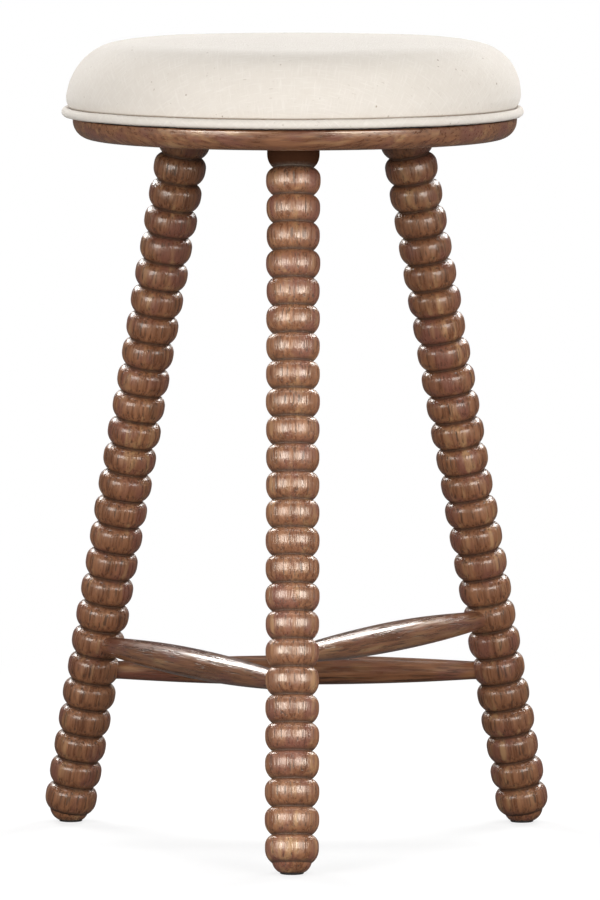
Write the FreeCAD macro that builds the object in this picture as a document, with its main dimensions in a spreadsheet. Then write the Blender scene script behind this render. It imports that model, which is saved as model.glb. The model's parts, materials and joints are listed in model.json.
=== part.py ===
import FreeCAD, Part
import math
import os
import Sketcher

# Counter stool: a round upholstered seat on three splayed, bobbin-turned legs.
# Millimetres and degrees. Z is up, the floor is Z = 0, and the Z axis is the axis of the round seat.
# The front leg stands towards -Y. The legs are tenoned through the seat base and wedged from above,
# three turned stretchers tie the legs together, and the padded seat is screwed on from below.

LEGS = ("front", "right", "left")
LEG_STEP = 360 / len(LEGS)
HALF_STEP = LEG_STEP / 2
FULL_TURN = 360
HALF_TURN = 180
LEVEL = 90
CIRCLE_CENTRE = 3
# Room past the wood for the blocks that trim the legs level.
WASTE = "2 * Sizes.bead_pitch"
# How far a leg's tenon rises past the underside of the seat base, along the leg, before it is trimmed.
TENON_RISE = "Layout.wedge_reach - Layout.leg_reach"

SIZES = (
    # Wooden frame
    ("frame_height", "593.5", "floor to the top face of the seat base, called the deck"),
    ("front_azimuth", "270", "direction of the front leg about Z"),
    ("base_radius", "181.5", "seat base"),
    ("base_thickness", "17", "seat base"),
    ("base_edge_round", "15", "round of the lower edge of the seat base"),
    ("base_edge_ease", "1.2", "round of the upper edge of the seat base"),
    ("base_edge_land", "0.5", "straight band left between the two rounds"),
    ("leg_circle_radius", "104.5", "leg axes at the underside of the seat base"),
    ("leg_splay", "11.4", "lean of each leg from upright"),
    ("bead_pitch", "22.45", "groove to groove along a leg"),
    ("bead_radius", "21.7", "leg at the crown of a bead"),
    ("groove_depth", "5.6", "crown of a bead down to the groove"),
    ("bead_crown_radius", "34", "curve over the crown of a bead"),
    ("bead_crown_half", "2.5", "half the length of that curve along the leg"),
    ("bead_crown_shift", "1.1", "middle of that curve above the middle of the bead"),
    ("foot_radius", "15.9", "button foot at its top"),
    ("foot_round", "8.8", "rise of the button foot's bowl, and its growth in radius"),
    ("foot_bowl", "12", "curve of that bowl"),
    ("foot_stub", "0.3", "straight part below the bowl"),
    ("tenon_shoulder", "3", "groove radius less the radius of the leg tenon"),
    ("tenon_depth", "10", "how far the tenon reaches down into the leg it is part of"),
    ("glue_gap", "0.1", "room for glue around and behind each tenon"),
    ("wedge_width", "21", "wedge across the tenon"),
    ("wedge_top", "3.2", "thickness of the wedge at its upper end"),
    ("wedge_tip", "0.8", "thickness of the wedge at its lower end"),
    ("wedge_depth", "13", "wedge below the deck, along the leg"),
    ("stretcher_radius", "7.5", "stretcher at its ends"),
    ("stretcher_swell", "4.7", "growth of that radius at mid-length"),
    ("stretcher_stop", "4", "end of the stretcher short of the leg's axis"),
    ("stretcher_reveal", "1", "straight end showing outside the bead"),
    ("stretcher_chamfer", "1", "end of the stretcher"),
    ("stretcher_drop", "2", "stretcher below the middle of its bead, along the leg"),
    ("back_bead", "6", "bead that the back stretcher enters, counted from the foot"),
    ("left_bead", "7", "bead that the left stretcher enters"),
    ("right_bead", "8", "bead that the right stretcher enters"),
    # Glides under the feet
    ("glide_thickness", "1.8", "nail-on glide"),
    ("glide_inset", "1", "edge of the glide inside the level cut under the foot"),
    ("glide_edge_round", "0.8", "lower edge of the glide"),
    ("nail_radius", "1", "shank of the glide nail"),
    ("nail_head_radius", "3.2", "glide nail"),
    ("nail_head_thickness", "0.6", "glide nail"),
    ("nail_head_sink", "0.2", "nail head above the floor"),
    ("nail_clearance", "0.15", "glide around the nail"),
    ("nail_length", "17", "floor to the nail's tip"),
    ("nail_point", "3", "pointed end of the nail"),
    ("nail_tip_radius", "0.2", "blunt end of the point"),
    # Upholstered seat, from the deck upwards
    ("dust_cover_thickness", "0.5", "black cloth closing the underside of the seat"),
    ("dust_cover_inset", "6", "edge of the dust cover inside the edge of the board"),
    ("staple_wire", "0.7", "staple, measured up from the board's face"),
    ("staple_width", "1.2", "staple, measured towards the seat's axis"),
    ("staple_crown", "10", "staple, outside"),
    ("staple_leg", "8", "staple, outside"),
    ("staple_inset", "12", "ring of staples inside the edge of the board"),
    ("staple_count", "24", "staples in the ring"),
    ("welt_fabric", "0.8", "cloth round the welt cord"),
    ("welt_radius", "3.75", "welt, over its cloth"),
    ("welt_lip", "20", "flat of the welt's cloth under the board"),
    ("cord_clearance", "0.1", "welt cord inside its cloth"),
    ("cover_fabric", "0.9", "seat cover"),
    ("cover_hem", "26", "cover turned in under the board"),
    ("layer_gap", "0.2", "room between the layers of the seat"),
    ("board_inset", "1.5", "edge of the board inside the edge of the seat base"),
    ("board_thickness", "12", "plywood board"),
    ("board_edge_round", "3", "upper edge of the board"),
    ("cushion_overhang", "4.9", "widest part of the cushion past the cover's wall"),
    ("cushion_tuck", "10.5", "round that draws the cushion in to the welt"),
    ("cushion_rise", "0.9", "widest part of the cushion above the board, at least"),
    ("cushion_shoulder", "46.4", "round from the cushion's side to its top"),
    ("cushion_crown", "4.3", "rise of the crowned top above that round"),
    ("batting_thickness", "8", "soft wrap over the foam"),
    ("screw_radius", "2.1", "shank of the seat screw"),
    ("screw_head_radius", "4.2", "seat screw"),
    ("screw_head_land", "0.4", "straight edge of the screw head"),
    ("screw_sink", "0.3", "screw head below the face of the seat base"),
    ("screw_clearance", "0.2", "seat base around the screw"),
    ("screw_bite", "8", "screw inside the board"),
    ("screw_point", "5", "pointed end of the screw"),
    ("screw_tip_radius", "0.3", "blunt end of the point"),
    ("screw_circle_radius", "120", "seat screws about the seat's axis"),
    ("recess_arm", "2.2", "half the length of the cross recess in the screw head"),
    ("recess_width", "0.9", "arm of the cross recess"),
    ("recess_depth", "1.6", "cross recess"),
)

# Sizes worked out from the ones above. Heights named seat_ are measured up from the deck.
# flat_out and flat_in are the reach of the level cut under a foot, away from the seat's axis and towards it,
# from the point where the leg's axis meets the floor.
WORKED_OUT = (
    ("underside", "Sizes.frame_height - Sizes.base_thickness"),
    ("foot_circle", "Sizes.leg_circle_radius + Layout.underside * tan(Sizes.leg_splay)"),
    ("leg_reach", "Layout.underside / cos(Sizes.leg_splay)"),
    ("deck_reach", "Sizes.frame_height / cos(Sizes.leg_splay)"),
    ("foot_height", "Sizes.foot_stub + Sizes.foot_round"),
    ("groove_radius", "Sizes.bead_radius - Sizes.groove_depth"),
    ("tenon_radius", "Layout.groove_radius - Sizes.tenon_shoulder"),
    ("socket_radius", "Layout.tenon_radius + Sizes.glue_gap"),
    ("bead_lean", "Sizes.bead_radius * tan(Sizes.leg_splay)"),
    ("bead_count", "ceil((Layout.leg_reach + Layout.bead_lean - Layout.foot_height) / Sizes.bead_pitch)"),
    ("crown_slope", "asin(Sizes.bead_crown_half / Sizes.bead_crown_radius)"),
    ("crown_drop", "Sizes.bead_crown_radius * (1 - cos(Layout.crown_slope))"),
    ("crown_end_radius", "Sizes.bead_radius - Layout.crown_drop"),
    ("lower_run", "Sizes.bead_pitch / 2 - Sizes.bead_crown_half + Sizes.bead_crown_shift"),
    ("upper_run", "Sizes.bead_pitch / 2 - Sizes.bead_crown_half - Sizes.bead_crown_shift"),
    ("corner_fall", "Sizes.groove_depth - Layout.crown_drop"),
    ("corner_lift", "Layout.corner_fall * cos(Layout.crown_slope)"),
    ("lower_turn", "Layout.corner_lift - Layout.lower_run * sin(Layout.crown_slope)"),
    ("upper_turn", "Layout.corner_lift - Layout.upper_run * sin(Layout.crown_slope)"),
    ("lower_corner", "(Layout.lower_run ^ 2 + Layout.corner_fall ^ 2) / (2 * Layout.lower_turn)"),
    ("upper_corner", "(Layout.upper_run ^ 2 + Layout.corner_fall ^ 2) / (2 * Layout.upper_turn)"),
    ("edge_room", "Sizes.base_thickness - Sizes.base_edge_ease - Sizes.base_edge_land"),
    ("edge_round", "min(Sizes.base_edge_round; Layout.edge_room)"),
    ("wedge_reach", "Layout.deck_reach + Layout.tenon_radius * tan(Sizes.leg_splay)"),
    ("stub_radius", "Sizes.foot_radius - Sizes.foot_round"),
    ("foot_waste", "Layout.stub_radius * tan(Sizes.leg_splay)"),
    ("flat_out", "Layout.stub_radius / cos(Sizes.leg_splay) - Sizes.glide_thickness * tan(Sizes.leg_splay)"),
    ("bowl_back", "sqrt(Sizes.foot_bowl ^ 2 / 2 - Sizes.foot_round ^ 2 / 4)"),
    ("bowl_centre", "Layout.stub_radius + Sizes.foot_round / 2 - Layout.bowl_back"),
    ("bowl_height", "Sizes.foot_stub + Sizes.foot_round / 2 + Layout.bowl_back"),
    ("flat_centre", "Layout.bowl_centre * cos(Sizes.leg_splay) + Layout.bowl_height * sin(Sizes.leg_splay)"),
    ("foot_lift", "Layout.bowl_height * cos(Sizes.leg_splay) - Layout.bowl_centre * sin(Sizes.leg_splay)"),
    ("flat_rise", "Layout.foot_lift - Sizes.glide_thickness"),
    ("flat_in", "Layout.flat_centre + sqrt(Sizes.foot_bowl ^ 2 - Layout.flat_rise ^ 2)"),
    ("glide_radius", "(Layout.flat_in + Layout.flat_out) / 2 - Sizes.glide_inset"),
    ("glide_circle", "Layout.foot_circle - (Layout.flat_in - Layout.flat_out) / 2"),
    ("nail_seat", "Sizes.nail_head_sink + Sizes.nail_head_thickness"),
    ("seat_lip_bottom", "Sizes.dust_cover_thickness + Sizes.staple_wire"),
    ("seat_lip_top", "Layout.seat_lip_bottom + Sizes.welt_fabric"),
    ("seat_board_bottom", "Layout.seat_lip_top + Sizes.cover_fabric"),
    ("seat_board_top", "Layout.seat_board_bottom + Sizes.board_thickness"),
    ("board_radius", "Sizes.base_radius - Sizes.board_inset"),
    ("wall_inside", "Layout.board_radius + Sizes.layer_gap"),
    ("wall_outside", "Layout.wall_inside + Sizes.cover_fabric"),
    ("welt_ring", "Layout.wall_outside + Sizes.layer_gap + Sizes.welt_radius"),
    ("seat_welt", "Layout.seat_lip_bottom + Sizes.welt_radius"),
    ("welt_bore", "Sizes.welt_radius - Sizes.welt_fabric"),
    ("lip_joint", "Layout.welt_ring - sqrt(Sizes.welt_radius ^ 2 - Layout.welt_bore ^ 2)"),
    ("lip_inside", "Layout.board_radius - Sizes.welt_lip"),
    ("hem_inside", "Layout.board_radius - Sizes.cover_hem"),
    ("staple_circle", "Layout.board_radius - Sizes.staple_inset"),
    ("dust_cover_radius", "Layout.board_radius - Sizes.dust_cover_inset"),
    ("cushion_radius", "Layout.wall_outside + Sizes.cushion_overhang"),
    ("tuck_centre", "Layout.cushion_radius - Sizes.cushion_tuck"),
    ("tuck_reach", "Sizes.cushion_tuck + Sizes.welt_radius + Sizes.layer_gap"),
    ("tuck_across", "Layout.welt_ring - Layout.tuck_centre"),
    ("tuck_clear", "Layout.seat_welt + sqrt(Layout.tuck_reach ^ 2 - Layout.tuck_across ^ 2)"),
    ("seat_side", "max(Layout.seat_board_top + Sizes.cushion_rise; Layout.tuck_clear)"),
    ("seat_top", "Layout.seat_side + Sizes.cushion_shoulder + Sizes.cushion_crown"),
    ("tuck_out", "Layout.wall_outside - Layout.tuck_centre"),
    ("tuck_end", "Layout.seat_side - sqrt(Sizes.cushion_tuck ^ 2 - Layout.tuck_out ^ 2)"),
    ("tuck_inside", "Sizes.cushion_tuck - Sizes.cover_fabric"),
    ("tuck_in", "Layout.wall_inside - Layout.tuck_centre"),
    ("tuck_inside_end", "Layout.seat_side - sqrt(Layout.tuck_inside ^ 2 - Layout.tuck_in ^ 2)"),
    ("shoulder_centre", "Layout.cushion_radius - Sizes.cushion_shoulder"),
    ("top_rise", "Sizes.cushion_shoulder + Sizes.cushion_crown"),
    ("top_square", "Layout.shoulder_centre ^ 2 + Layout.top_rise ^ 2 - Sizes.cushion_shoulder ^ 2"),
    ("top_radius", "Layout.top_square / (2 * Sizes.cushion_crown)"),
    ("top_centre", "Layout.seat_top - Layout.top_radius"),
    ("top_lean", "Layout.shoulder_centre / (Layout.top_radius - Sizes.cushion_shoulder)"),
    ("top_upright", "(Layout.seat_side - Layout.top_centre) / (Layout.top_radius - Sizes.cushion_shoulder)"),
    ("batting_outside", "Sizes.cover_fabric + Sizes.layer_gap"),
    ("batting_inside", "Layout.batting_outside + Sizes.batting_thickness"),
    ("foam_outside", "Layout.batting_inside + Sizes.layer_gap"),
    ("screw_top", "Sizes.base_thickness + Layout.seat_board_bottom + Sizes.screw_bite"),
    ("screw_neck", "Sizes.screw_sink + Sizes.screw_head_land + Sizes.screw_head_radius - Sizes.screw_radius"),
    ("screw_hole", "Sizes.screw_radius + Sizes.screw_clearance"),
    ("sink_mouth", "Sizes.screw_head_radius + Sizes.screw_clearance"),
    ("sink_radius", "Layout.sink_mouth + Sizes.screw_sink + Sizes.screw_head_land"),
    ("sink_depth", "Layout.sink_radius - Layout.screw_hole"),
)

doc = FreeCAD.newDocument("counter_stool")


def fill_sheet(name, rows):
    """Write one row for each value: what it is, the value under its alias, and a note."""
    sheet = doc.addObject("Spreadsheet::Sheet", name)
    for number, (alias, text, note) in enumerate(rows, start=1):
        sheet.set(f"A{number}", alias)
        sheet.set(f"B{number}", text)
        sheet.setAlias(f"B{number}", alias)
        sheet.set(f"C{number}", note)
    doc.recompute()
    return sheet


sizes = fill_sheet("Sizes", SIZES)
layout = fill_sheet("Layout", [(alias, "=" + text, "worked out") for alias, text in WORKED_OUT])


def amount(expression):
    """Value of an expression on the sheets, to start a sketch at its final shape."""
    return float(sizes.evalExpression(expression))


def origin_plane(body, role):
    """One of a body's own three origin planes."""
    return next(item for item in body.Origin.OriginFeatures if item.Role == role)


def arc_between(start, end, radius, side):
    """Arc from start to end, its centre to the left (side 1) or right (side -1) of the way between them.

    A sketch keeps arcs anticlockwise, so the pair that is returned says which end of the arc is the start.
    """
    chord = end - start
    half = chord.Length / 2
    across = FreeCAD.Vector(-chord.y, chord.x, 0) / chord.Length
    centre = (start + end) / 2 + across * side * max(radius ** 2 - half ** 2, 0) ** 0.5
    circle = Part.Circle(centre, FreeCAD.Vector(0, 0, 1), radius)
    first, last = (start, end) if side > 0 else (end, start)
    angles = [circle.parameter(first), circle.parameter(last)]
    if angles[1] < angles[0]:
        angles[1] += 2 * math.pi
    ends = (1, 2) if side > 0 else (2, 1)
    return Part.ArcOfCircle(circle, *angles), ends


def pin_point(sketch, edge, end, corner):
    """Hold one point of a sketch at a pair of expressions, on the axis where the expression is 0."""
    for kind, axis, expression in zip(("DistanceX", "DistanceY"), (-2, -1), corner):
        if expression == "0":
            sketch.addConstraint(Sketcher.Constraint("PointOnObject", edge, end, axis))
            continue
        rule = Sketcher.Constraint(kind, -1, 1, edge, end, amount(expression))
        sketch.setExpression(f"Constraints[{sketch.addConstraint(rule)}]", expression)


def pin_radius(sketch, edge, expression):
    """Hold the radius of an arc or circle of a sketch at an expression."""
    rule = Sketcher.Constraint("Radius", edge, amount(expression))
    sketch.setExpression(f"Constraints[{sketch.addConstraint(rule)}]", expression)


def circle_in(sketch, centre, radius):
    """Add a circle to a sketch, its centre and radius given by expressions."""
    middle = FreeCAD.Vector(amount(centre[0]), amount(centre[1]), 0)
    edge = sketch.addGeometry(Part.Circle(middle, FreeCAD.Vector(0, 0, 1), amount(radius)))
    pin_point(sketch, edge, CIRCLE_CENTRE, centre)
    pin_radius(sketch, edge, radius)


def outline(body, corners, arcs=None, role="XZ_Plane", name="outline"):
    """Closed sketch through corners, each an (x, y) pair of expressions.

    arcs gives (radius, side) for the edge that leaves the corner of that number. Other edges are straight.
    """
    arcs = arcs or {}
    sketch = body.newObject("Sketcher::SketchObject", f"{body.Name}_{name}")
    sketch.AttachmentSupport = [(origin_plane(body, role), "")]
    sketch.MapMode = "FlatFace"
    points = [FreeCAD.Vector(amount(x), amount(y), 0) for x, y in corners]
    edges = []
    for number, start in enumerate(points):
        end = points[(number + 1) % len(points)]
        edge, ends = Part.LineSegment(start, end), (1, 2)
        if number in arcs:
            radius, side = arcs[number]
            edge, ends = arc_between(start, end, amount(radius), side)
        edges.append((sketch.addGeometry(edge), *ends))
    for number, (edge, first, last) in enumerate(edges):
        before, _, before_end = edges[number - 1]
        sketch.addConstraint(Sketcher.Constraint("Coincident", before, before_end, edge, first))
        pin_point(sketch, edge, first, corners[number])
        if number in arcs:
            pin_radius(sketch, edge, arcs[number][0])
    return sketch


def new_body(label):
    """Empty body with its own label."""
    body = doc.addObject("PartDesign::Body", label)
    body.Label = label
    return body


def turn(body, sketch):
    """Turn a sketch about the body's Z axis, as on a lathe."""
    feature = body.newObject("PartDesign::Revolution", f"{sketch.Name}_turned")
    feature.Profile = sketch
    feature.ReferenceAxis = (sketch, ["V_Axis"])
    feature.Angle = FULL_TURN
    return feature


def turned_body(label, corners, arcs=None):
    """Body of one turning."""
    body = new_body(label)
    turn(body, outline(body, corners, arcs))
    return body


def ring_of(body, feature, count):
    """Repeat a feature evenly about the body's Z axis."""
    pattern = body.newObject("PartDesign::PolarPattern", f"{feature.Name}_ring")
    pattern.Originals = [feature]
    pattern.Axis = (origin_plane(body, "Z_Axis"), [""])
    pattern.Angle = FULL_TURN
    pattern.setExpression("Occurrences", count)
    body.Tip = pattern


def place(item, base, yaw="0", pitch="0"):
    """Bind a placement: three expressions for the base, then the turn about Z and the tilt about Y."""
    item.setExpression("Placement", f"placement(vector({'; '.join(base)}); rotation({yaw}; {pitch}; 0))")


def cylinder(label, radius, height):
    """Plain cylinder, used to bore or trim another piece."""
    item = doc.addObject("Part::Cylinder", label)
    item.setExpression("Radius", radius)
    item.setExpression("Height", height)
    return item


def cut(label, base, tools):
    """Base less all of the tools."""
    tool = tools[0]
    if len(tools) > 1:
        tool = doc.addObject("Part::MultiFuse", f"{label}_cutters")
        tool.Shapes = tools
    item = doc.addObject("Part::Cut", label)
    item.Label = label
    item.Base = base
    item.Tool = tool
    return item


def group(label, items):
    """Separate like pieces under one label."""
    item = doc.addObject("Part::Compound", label)
    item.Label = label
    item.Links = items
    return item


def azimuth(leg):
    """Direction of a leg about Z."""
    return f"(Sizes.front_azimuth + {LEGS.index(leg) * LEG_STEP})"


def on_circle(radius, direction, height):
    """Base of a placement at a radius from the Z axis."""
    return (f"{radius} * cos({direction})", f"{radius} * sin({direction})", height)


def seat_level(item):
    """Stand a piece of the upholstered seat on the deck, turned with the frame."""
    place(item, ("0", "0", "Sizes.frame_height"), "Sizes.front_azimuth")
    return item


def leg_line(item, leg, along):
    """Set a piece on a leg's axis, a distance along it from the floor."""
    radius = f"(Layout.foot_circle - ({along}) * sin(Sizes.leg_splay))"
    base = on_circle(radius, azimuth(leg), f"({along}) * cos(Sizes.leg_splay)")
    place(item, base, azimuth(leg), "-Sizes.leg_splay")
    return item


class Stretcher:
    """Level line from one leg's axis to the next leg's, just below the middle of a chosen bead."""

    def __init__(self, name, start_leg, bead):
        self.label = f"stretcher_{name}"
        self.start_leg = start_leg
        self.end_leg = LEGS[(LEGS.index(start_leg) + 1) % len(LEGS)]
        middle = f"Layout.foot_height + (Sizes.{bead} - 0.5) * Sizes.bead_pitch"
        self.height = f"(({middle} - Sizes.stretcher_drop) * cos(Sizes.leg_splay))"
        self.radius = f"(Layout.foot_circle - {self.height} * tan(Sizes.leg_splay))"
        self.heading = f"({azimuth(start_leg)} + {LEVEL + HALF_STEP})"
        self.span = f"(2 * {self.radius} * sin({HALF_STEP}))"

    def lay(self, item, leg, inset):
        """Point an item along the line from one of its two legs, an inset away from that leg's axis."""
        heading = self.heading if leg == self.start_leg else f"({self.heading} + {HALF_TURN})"
        x, y, z = on_circle(self.radius, azimuth(leg), self.height)
        base = (f"{x} + {inset} * cos({heading})", f"{y} + {inset} * sin({heading})", z)
        place(item, base, heading, str(LEVEL))
        return item


STRETCHERS = (
    Stretcher("right", "front", "right_bead"),
    Stretcher("back", "right", "back_bead"),
    Stretcher("left", "left", "left_bead"),
)


def make_stretcher(line):
    """Long swelling turning with straight, chamfered ends."""
    length = f"({line.span} - 2 * Sizes.stretcher_stop)"
    straight = "(Sizes.bead_radius - Sizes.stretcher_stop + Sizes.stretcher_reveal)"
    half = f"({length} / 2 - {straight})"
    bow = f"(({half} ^ 2 + Sizes.stretcher_swell ^ 2) / (2 * Sizes.stretcher_swell))"
    side = "Sizes.stretcher_radius"
    end = "Sizes.stretcher_radius - Sizes.stretcher_chamfer"
    corners = [
        ("0", "0"),
        (end, "0"),
        (side, "Sizes.stretcher_chamfer"),
        (side, straight),
        (side, f"{length} - {straight}"),
        (side, f"{length} - Sizes.stretcher_chamfer"),
        (end, length),
        ("0", length),
    ]
    return line.lay(turned_body(line.label, corners, {3: (bow, 1)}), line.start_leg, "Sizes.stretcher_stop")


def stretcher_socket(line, leg):
    """Bore for one end of a stretcher."""
    radius = "Sizes.stretcher_radius + Sizes.glue_gap"
    item = cylinder(f"{line.label}_bore_{leg}", radius, "2 * Sizes.bead_radius")
    return line.lay(item, leg, "(Sizes.stretcher_stop - Sizes.glue_gap)")


def turn_leg(leg):
    """Button foot and a run of beads, long enough to pass the underside of the seat base."""
    body = new_body(f"leg_{leg}_turning")
    foot = [
        ("0", "-Layout.foot_waste"),
        ("Layout.stub_radius", "-Layout.foot_waste"),
        ("Layout.stub_radius", "Sizes.foot_stub"),
        ("Sizes.foot_radius", "Layout.foot_height"),
        ("0", "Layout.foot_height"),
    ]
    turn(body, outline(body, foot, {2: ("Sizes.foot_bowl", 1)}, name="foot"))
    low, high = "Layout.foot_height", "Layout.foot_height + Sizes.bead_pitch"
    bead = [
        ("0", low),
        ("Layout.groove_radius", low),
        ("Layout.crown_end_radius", f"{low} + Layout.lower_run"),
        ("Layout.crown_end_radius", f"{high} - Layout.upper_run"),
        ("Layout.groove_radius", high),
        ("0", high),
    ]
    radii = ("Layout.lower_corner", "Sizes.bead_crown_radius", "Layout.upper_corner")
    sketch = outline(body, bead, {edge: (radius, 1) for edge, radius in enumerate(radii, 1)}, name="bead")
    first = turn(body, sketch)
    pattern = body.newObject("PartDesign::LinearPattern", f"{body.Name}_beads")
    pattern.Originals = [first]
    pattern.Direction = (sketch, ["V_Axis"])
    pattern.Mode = "Spacing"
    pattern.setExpression("Offset", "Sizes.bead_pitch")
    pattern.setExpression("Occurrences", "Layout.bead_count")
    body.Tip = pattern
    return leg_line(body, leg, "0")


def make_wedge(leg):
    """Thin tapered wedge down the middle of the leg's tenon, before it is trimmed to the deck."""
    body = new_body(f"wedge_{leg}_blank")
    half_top, half_tip = "Sizes.wedge_top / 2", "Sizes.wedge_tip / 2"
    low = "Sizes.wedge_tip"
    high = f"{low} + Sizes.wedge_depth + Layout.wedge_reach - Layout.deck_reach"
    corners = [(f"-{half_tip}", low), (half_tip, low), (half_top, high), (f"-{half_top}", high)]
    pad = body.newObject("PartDesign::Pad", f"{body.Name}_pad")
    pad.Profile = outline(body, corners)
    pad.SideType = "Symmetric"
    pad.setExpression("Length", "Sizes.wedge_width")
    return leg_line(body, leg, "Layout.deck_reach - Sizes.wedge_depth - Sizes.wedge_tip")


def make_nail(leg):
    """Nail with a flat head, driven up through the glide into the foot."""
    corners = [
        ("0", "Sizes.nail_head_sink"),
        ("Sizes.nail_head_radius", "Sizes.nail_head_sink"),
        ("Sizes.nail_head_radius", "Layout.nail_seat"),
        ("Sizes.nail_radius", "Layout.nail_seat"),
        ("Sizes.nail_radius", "Sizes.nail_length - Sizes.nail_point"),
        ("Sizes.nail_tip_radius", "Sizes.nail_length"),
        ("0", "Sizes.nail_length"),
    ]
    body = turned_body(f"nail_{leg}", corners)
    place(body, on_circle("Layout.glide_circle", azimuth(leg), "0"))
    return body


def make_glide(leg):
    """Plastic disc under the foot, with a seat for the nail's head."""
    bore = "Sizes.nail_radius + Sizes.nail_clearance"
    seat = "Sizes.nail_head_radius + Sizes.nail_clearance"
    corners = [
        (seat, "0"),
        ("Layout.glide_radius - Sizes.glide_edge_round", "0"),
        ("Layout.glide_radius", "Sizes.glide_edge_round"),
        ("Layout.glide_radius", "Sizes.glide_thickness"),
        (bore, "Sizes.glide_thickness"),
        (bore, "Layout.nail_seat"),
        (seat, "Layout.nail_seat"),
    ]
    body = turned_body(f"glide_{leg}", corners, {1: ("Sizes.glide_edge_round", 1)})
    place(body, on_circle("Layout.glide_circle", azimuth(leg), "0"))
    return body


def make_screw(number):
    """Countersunk wood screw with a cross recess, driven up through the seat base into the board."""
    head, shank = "Sizes.screw_head_radius", "Sizes.screw_radius"
    corners = [
        ("0", "Sizes.screw_sink"),
        (head, "Sizes.screw_sink"),
        (head, "Sizes.screw_sink + Sizes.screw_head_land"),
        (shank, "Layout.screw_neck"),
        (shank, "Layout.screw_top - Sizes.screw_point"),
        ("Sizes.screw_tip_radius", "Layout.screw_top"),
        ("0", "Layout.screw_top"),
    ]
    body = turned_body(f"seat_screw_{number}", corners)
    arm, half = "Sizes.recess_arm", "Sizes.recess_width / 2"
    cross = [
        (arm, f"-{half}"), (arm, half), (half, half), (half, arm), (f"-{half}", arm), (f"-{half}", half),
        (f"-{arm}", half), (f"-{arm}", f"-{half}"), (f"-{half}", f"-{half}"), (f"-{half}", f"-{arm}"),
        (half, f"-{arm}"), (half, f"-{half}"),
    ]
    recess = body.newObject("PartDesign::Pocket", f"{body.Name}_recess")
    recess.Profile = outline(body, cross, role="XY_Plane", name="cross")
    recess.Reversed = True
    recess.setExpression("Length", "Sizes.screw_sink + Sizes.recess_depth")
    direction = f"(Sizes.front_azimuth + {HALF_STEP + number * LEG_STEP})"
    place(body, on_circle("Sizes.screw_circle_radius", direction, "Layout.underside"))
    return body


def make_seat_base(sockets):
    """Round board with a heavily rounded lower edge, countersunk screw holes and bores for the leg tenons."""
    side, thickness = "Sizes.base_radius", "Sizes.base_thickness"
    corners = [
        ("0", "0"),
        (f"{side} - Layout.edge_round", "0"),
        (side, "Layout.edge_round"),
        (side, f"{thickness} - Sizes.base_edge_ease"),
        (f"{side} - Sizes.base_edge_ease", thickness),
        ("0", thickness),
    ]
    arcs = {1: ("Layout.edge_round", 1), 3: ("Sizes.base_edge_ease", 1)}
    body = turned_body("seat_base_disc", corners, arcs)
    sketch = body.newObject("Sketcher::SketchObject", "screw_hole_place")
    sketch.AttachmentSupport = [(origin_plane(body, "XY_Plane"), "")]
    sketch.MapMode = "FlatFace"
    circle_in(sketch, ("Sizes.screw_circle_radius", "0"), "Layout.screw_hole")
    doc.recompute()
    whole = body.Shape.Volume
    hole = body.newObject("PartDesign::Hole", "screw_hole")
    hole.Profile = sketch
    hole.Reversed = True
    hole.DepthType = "ThroughAll"
    hole.setExpression("Diameter", "2 * Layout.screw_hole")
    hole.HoleCutType = "Countersink"
    hole.HoleCutCustomValues = True
    hole.setExpression("HoleCutDiameter", "2 * Layout.sink_radius")
    hole.HoleCutCountersinkAngle = LEVEL
    doc.recompute()
    if body.Shape.Volume >= whole:
        raise RuntimeError("the screw hole cut nothing from the seat base")
    ring_of(body, hole, str(len(LEGS)))
    place(body, ("0", "0", "Layout.underside"), f"Sizes.front_azimuth + {HALF_STEP}")
    return cut("seat_base", body, sockets)


def cushion_skin(inset):
    """Corners and arcs of the cushion's side, shoulder and crown, an inset below the outside of the cover."""
    top = f"(Layout.top_radius - {inset})"
    corners = [
        (f"Layout.cushion_radius - {inset}", "Layout.seat_side"),
        (f"Layout.top_lean * {top}", f"Layout.top_centre + Layout.top_upright * {top}"),
        ("0", f"Layout.seat_top - {inset}"),
    ]
    return corners, (f"Sizes.cushion_shoulder - {inset}", top)


def make_staples():
    """Ring of wire staples, crowns down, driven up into the board."""
    body = new_body("cover_staples")
    half, wire, leg = "Sizes.staple_crown / 2", "Sizes.staple_wire", "Sizes.staple_leg"
    corners = [
        (f"-{half}", "0"), (half, "0"), (half, leg), (f"{half} - {wire}", leg), (f"{half} - {wire}", wire),
        (f"-{half} + {wire}", wire), (f"-{half} + {wire}", leg), (f"-{half}", leg),
    ]
    sketch = outline(body, corners, role="YZ_Plane")
    sketch.setExpression("AttachmentOffset.Base.z", "Layout.staple_circle")
    sketch.setExpression("AttachmentOffset.Base.y", "Sizes.dust_cover_thickness")
    pad = body.newObject("PartDesign::Pad", "staple")
    pad.Profile = sketch
    pad.SideType = "Symmetric"
    pad.setExpression("Length", "Sizes.staple_width")
    ring_of(body, pad, "Sizes.staple_count")
    return seat_level(body)


def make_dust_cover(screws):
    """Thin cloth disc between the seat base and the board, pierced by the screws."""
    disc = cylinder("dust_cover_disc", "Layout.dust_cover_radius", "Sizes.dust_cover_thickness")
    return cut("dust_cover", seat_level(disc), [screws])


def make_seat_board(cutters):
    """Plywood disc with a rounded upper edge."""
    low, high = "Layout.seat_board_bottom", "Layout.seat_board_top"
    corners = [
        ("0", low),
        ("Layout.board_radius", low),
        ("Layout.board_radius", f"{high} - Sizes.board_edge_round"),
        ("Layout.board_radius - Sizes.board_edge_round", high),
        ("0", high),
    ]
    disc = turned_body("seat_board_disc", corners, {2: ("Sizes.board_edge_round", 1)})
    return cut("seat_board", seat_level(disc), cutters)


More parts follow.
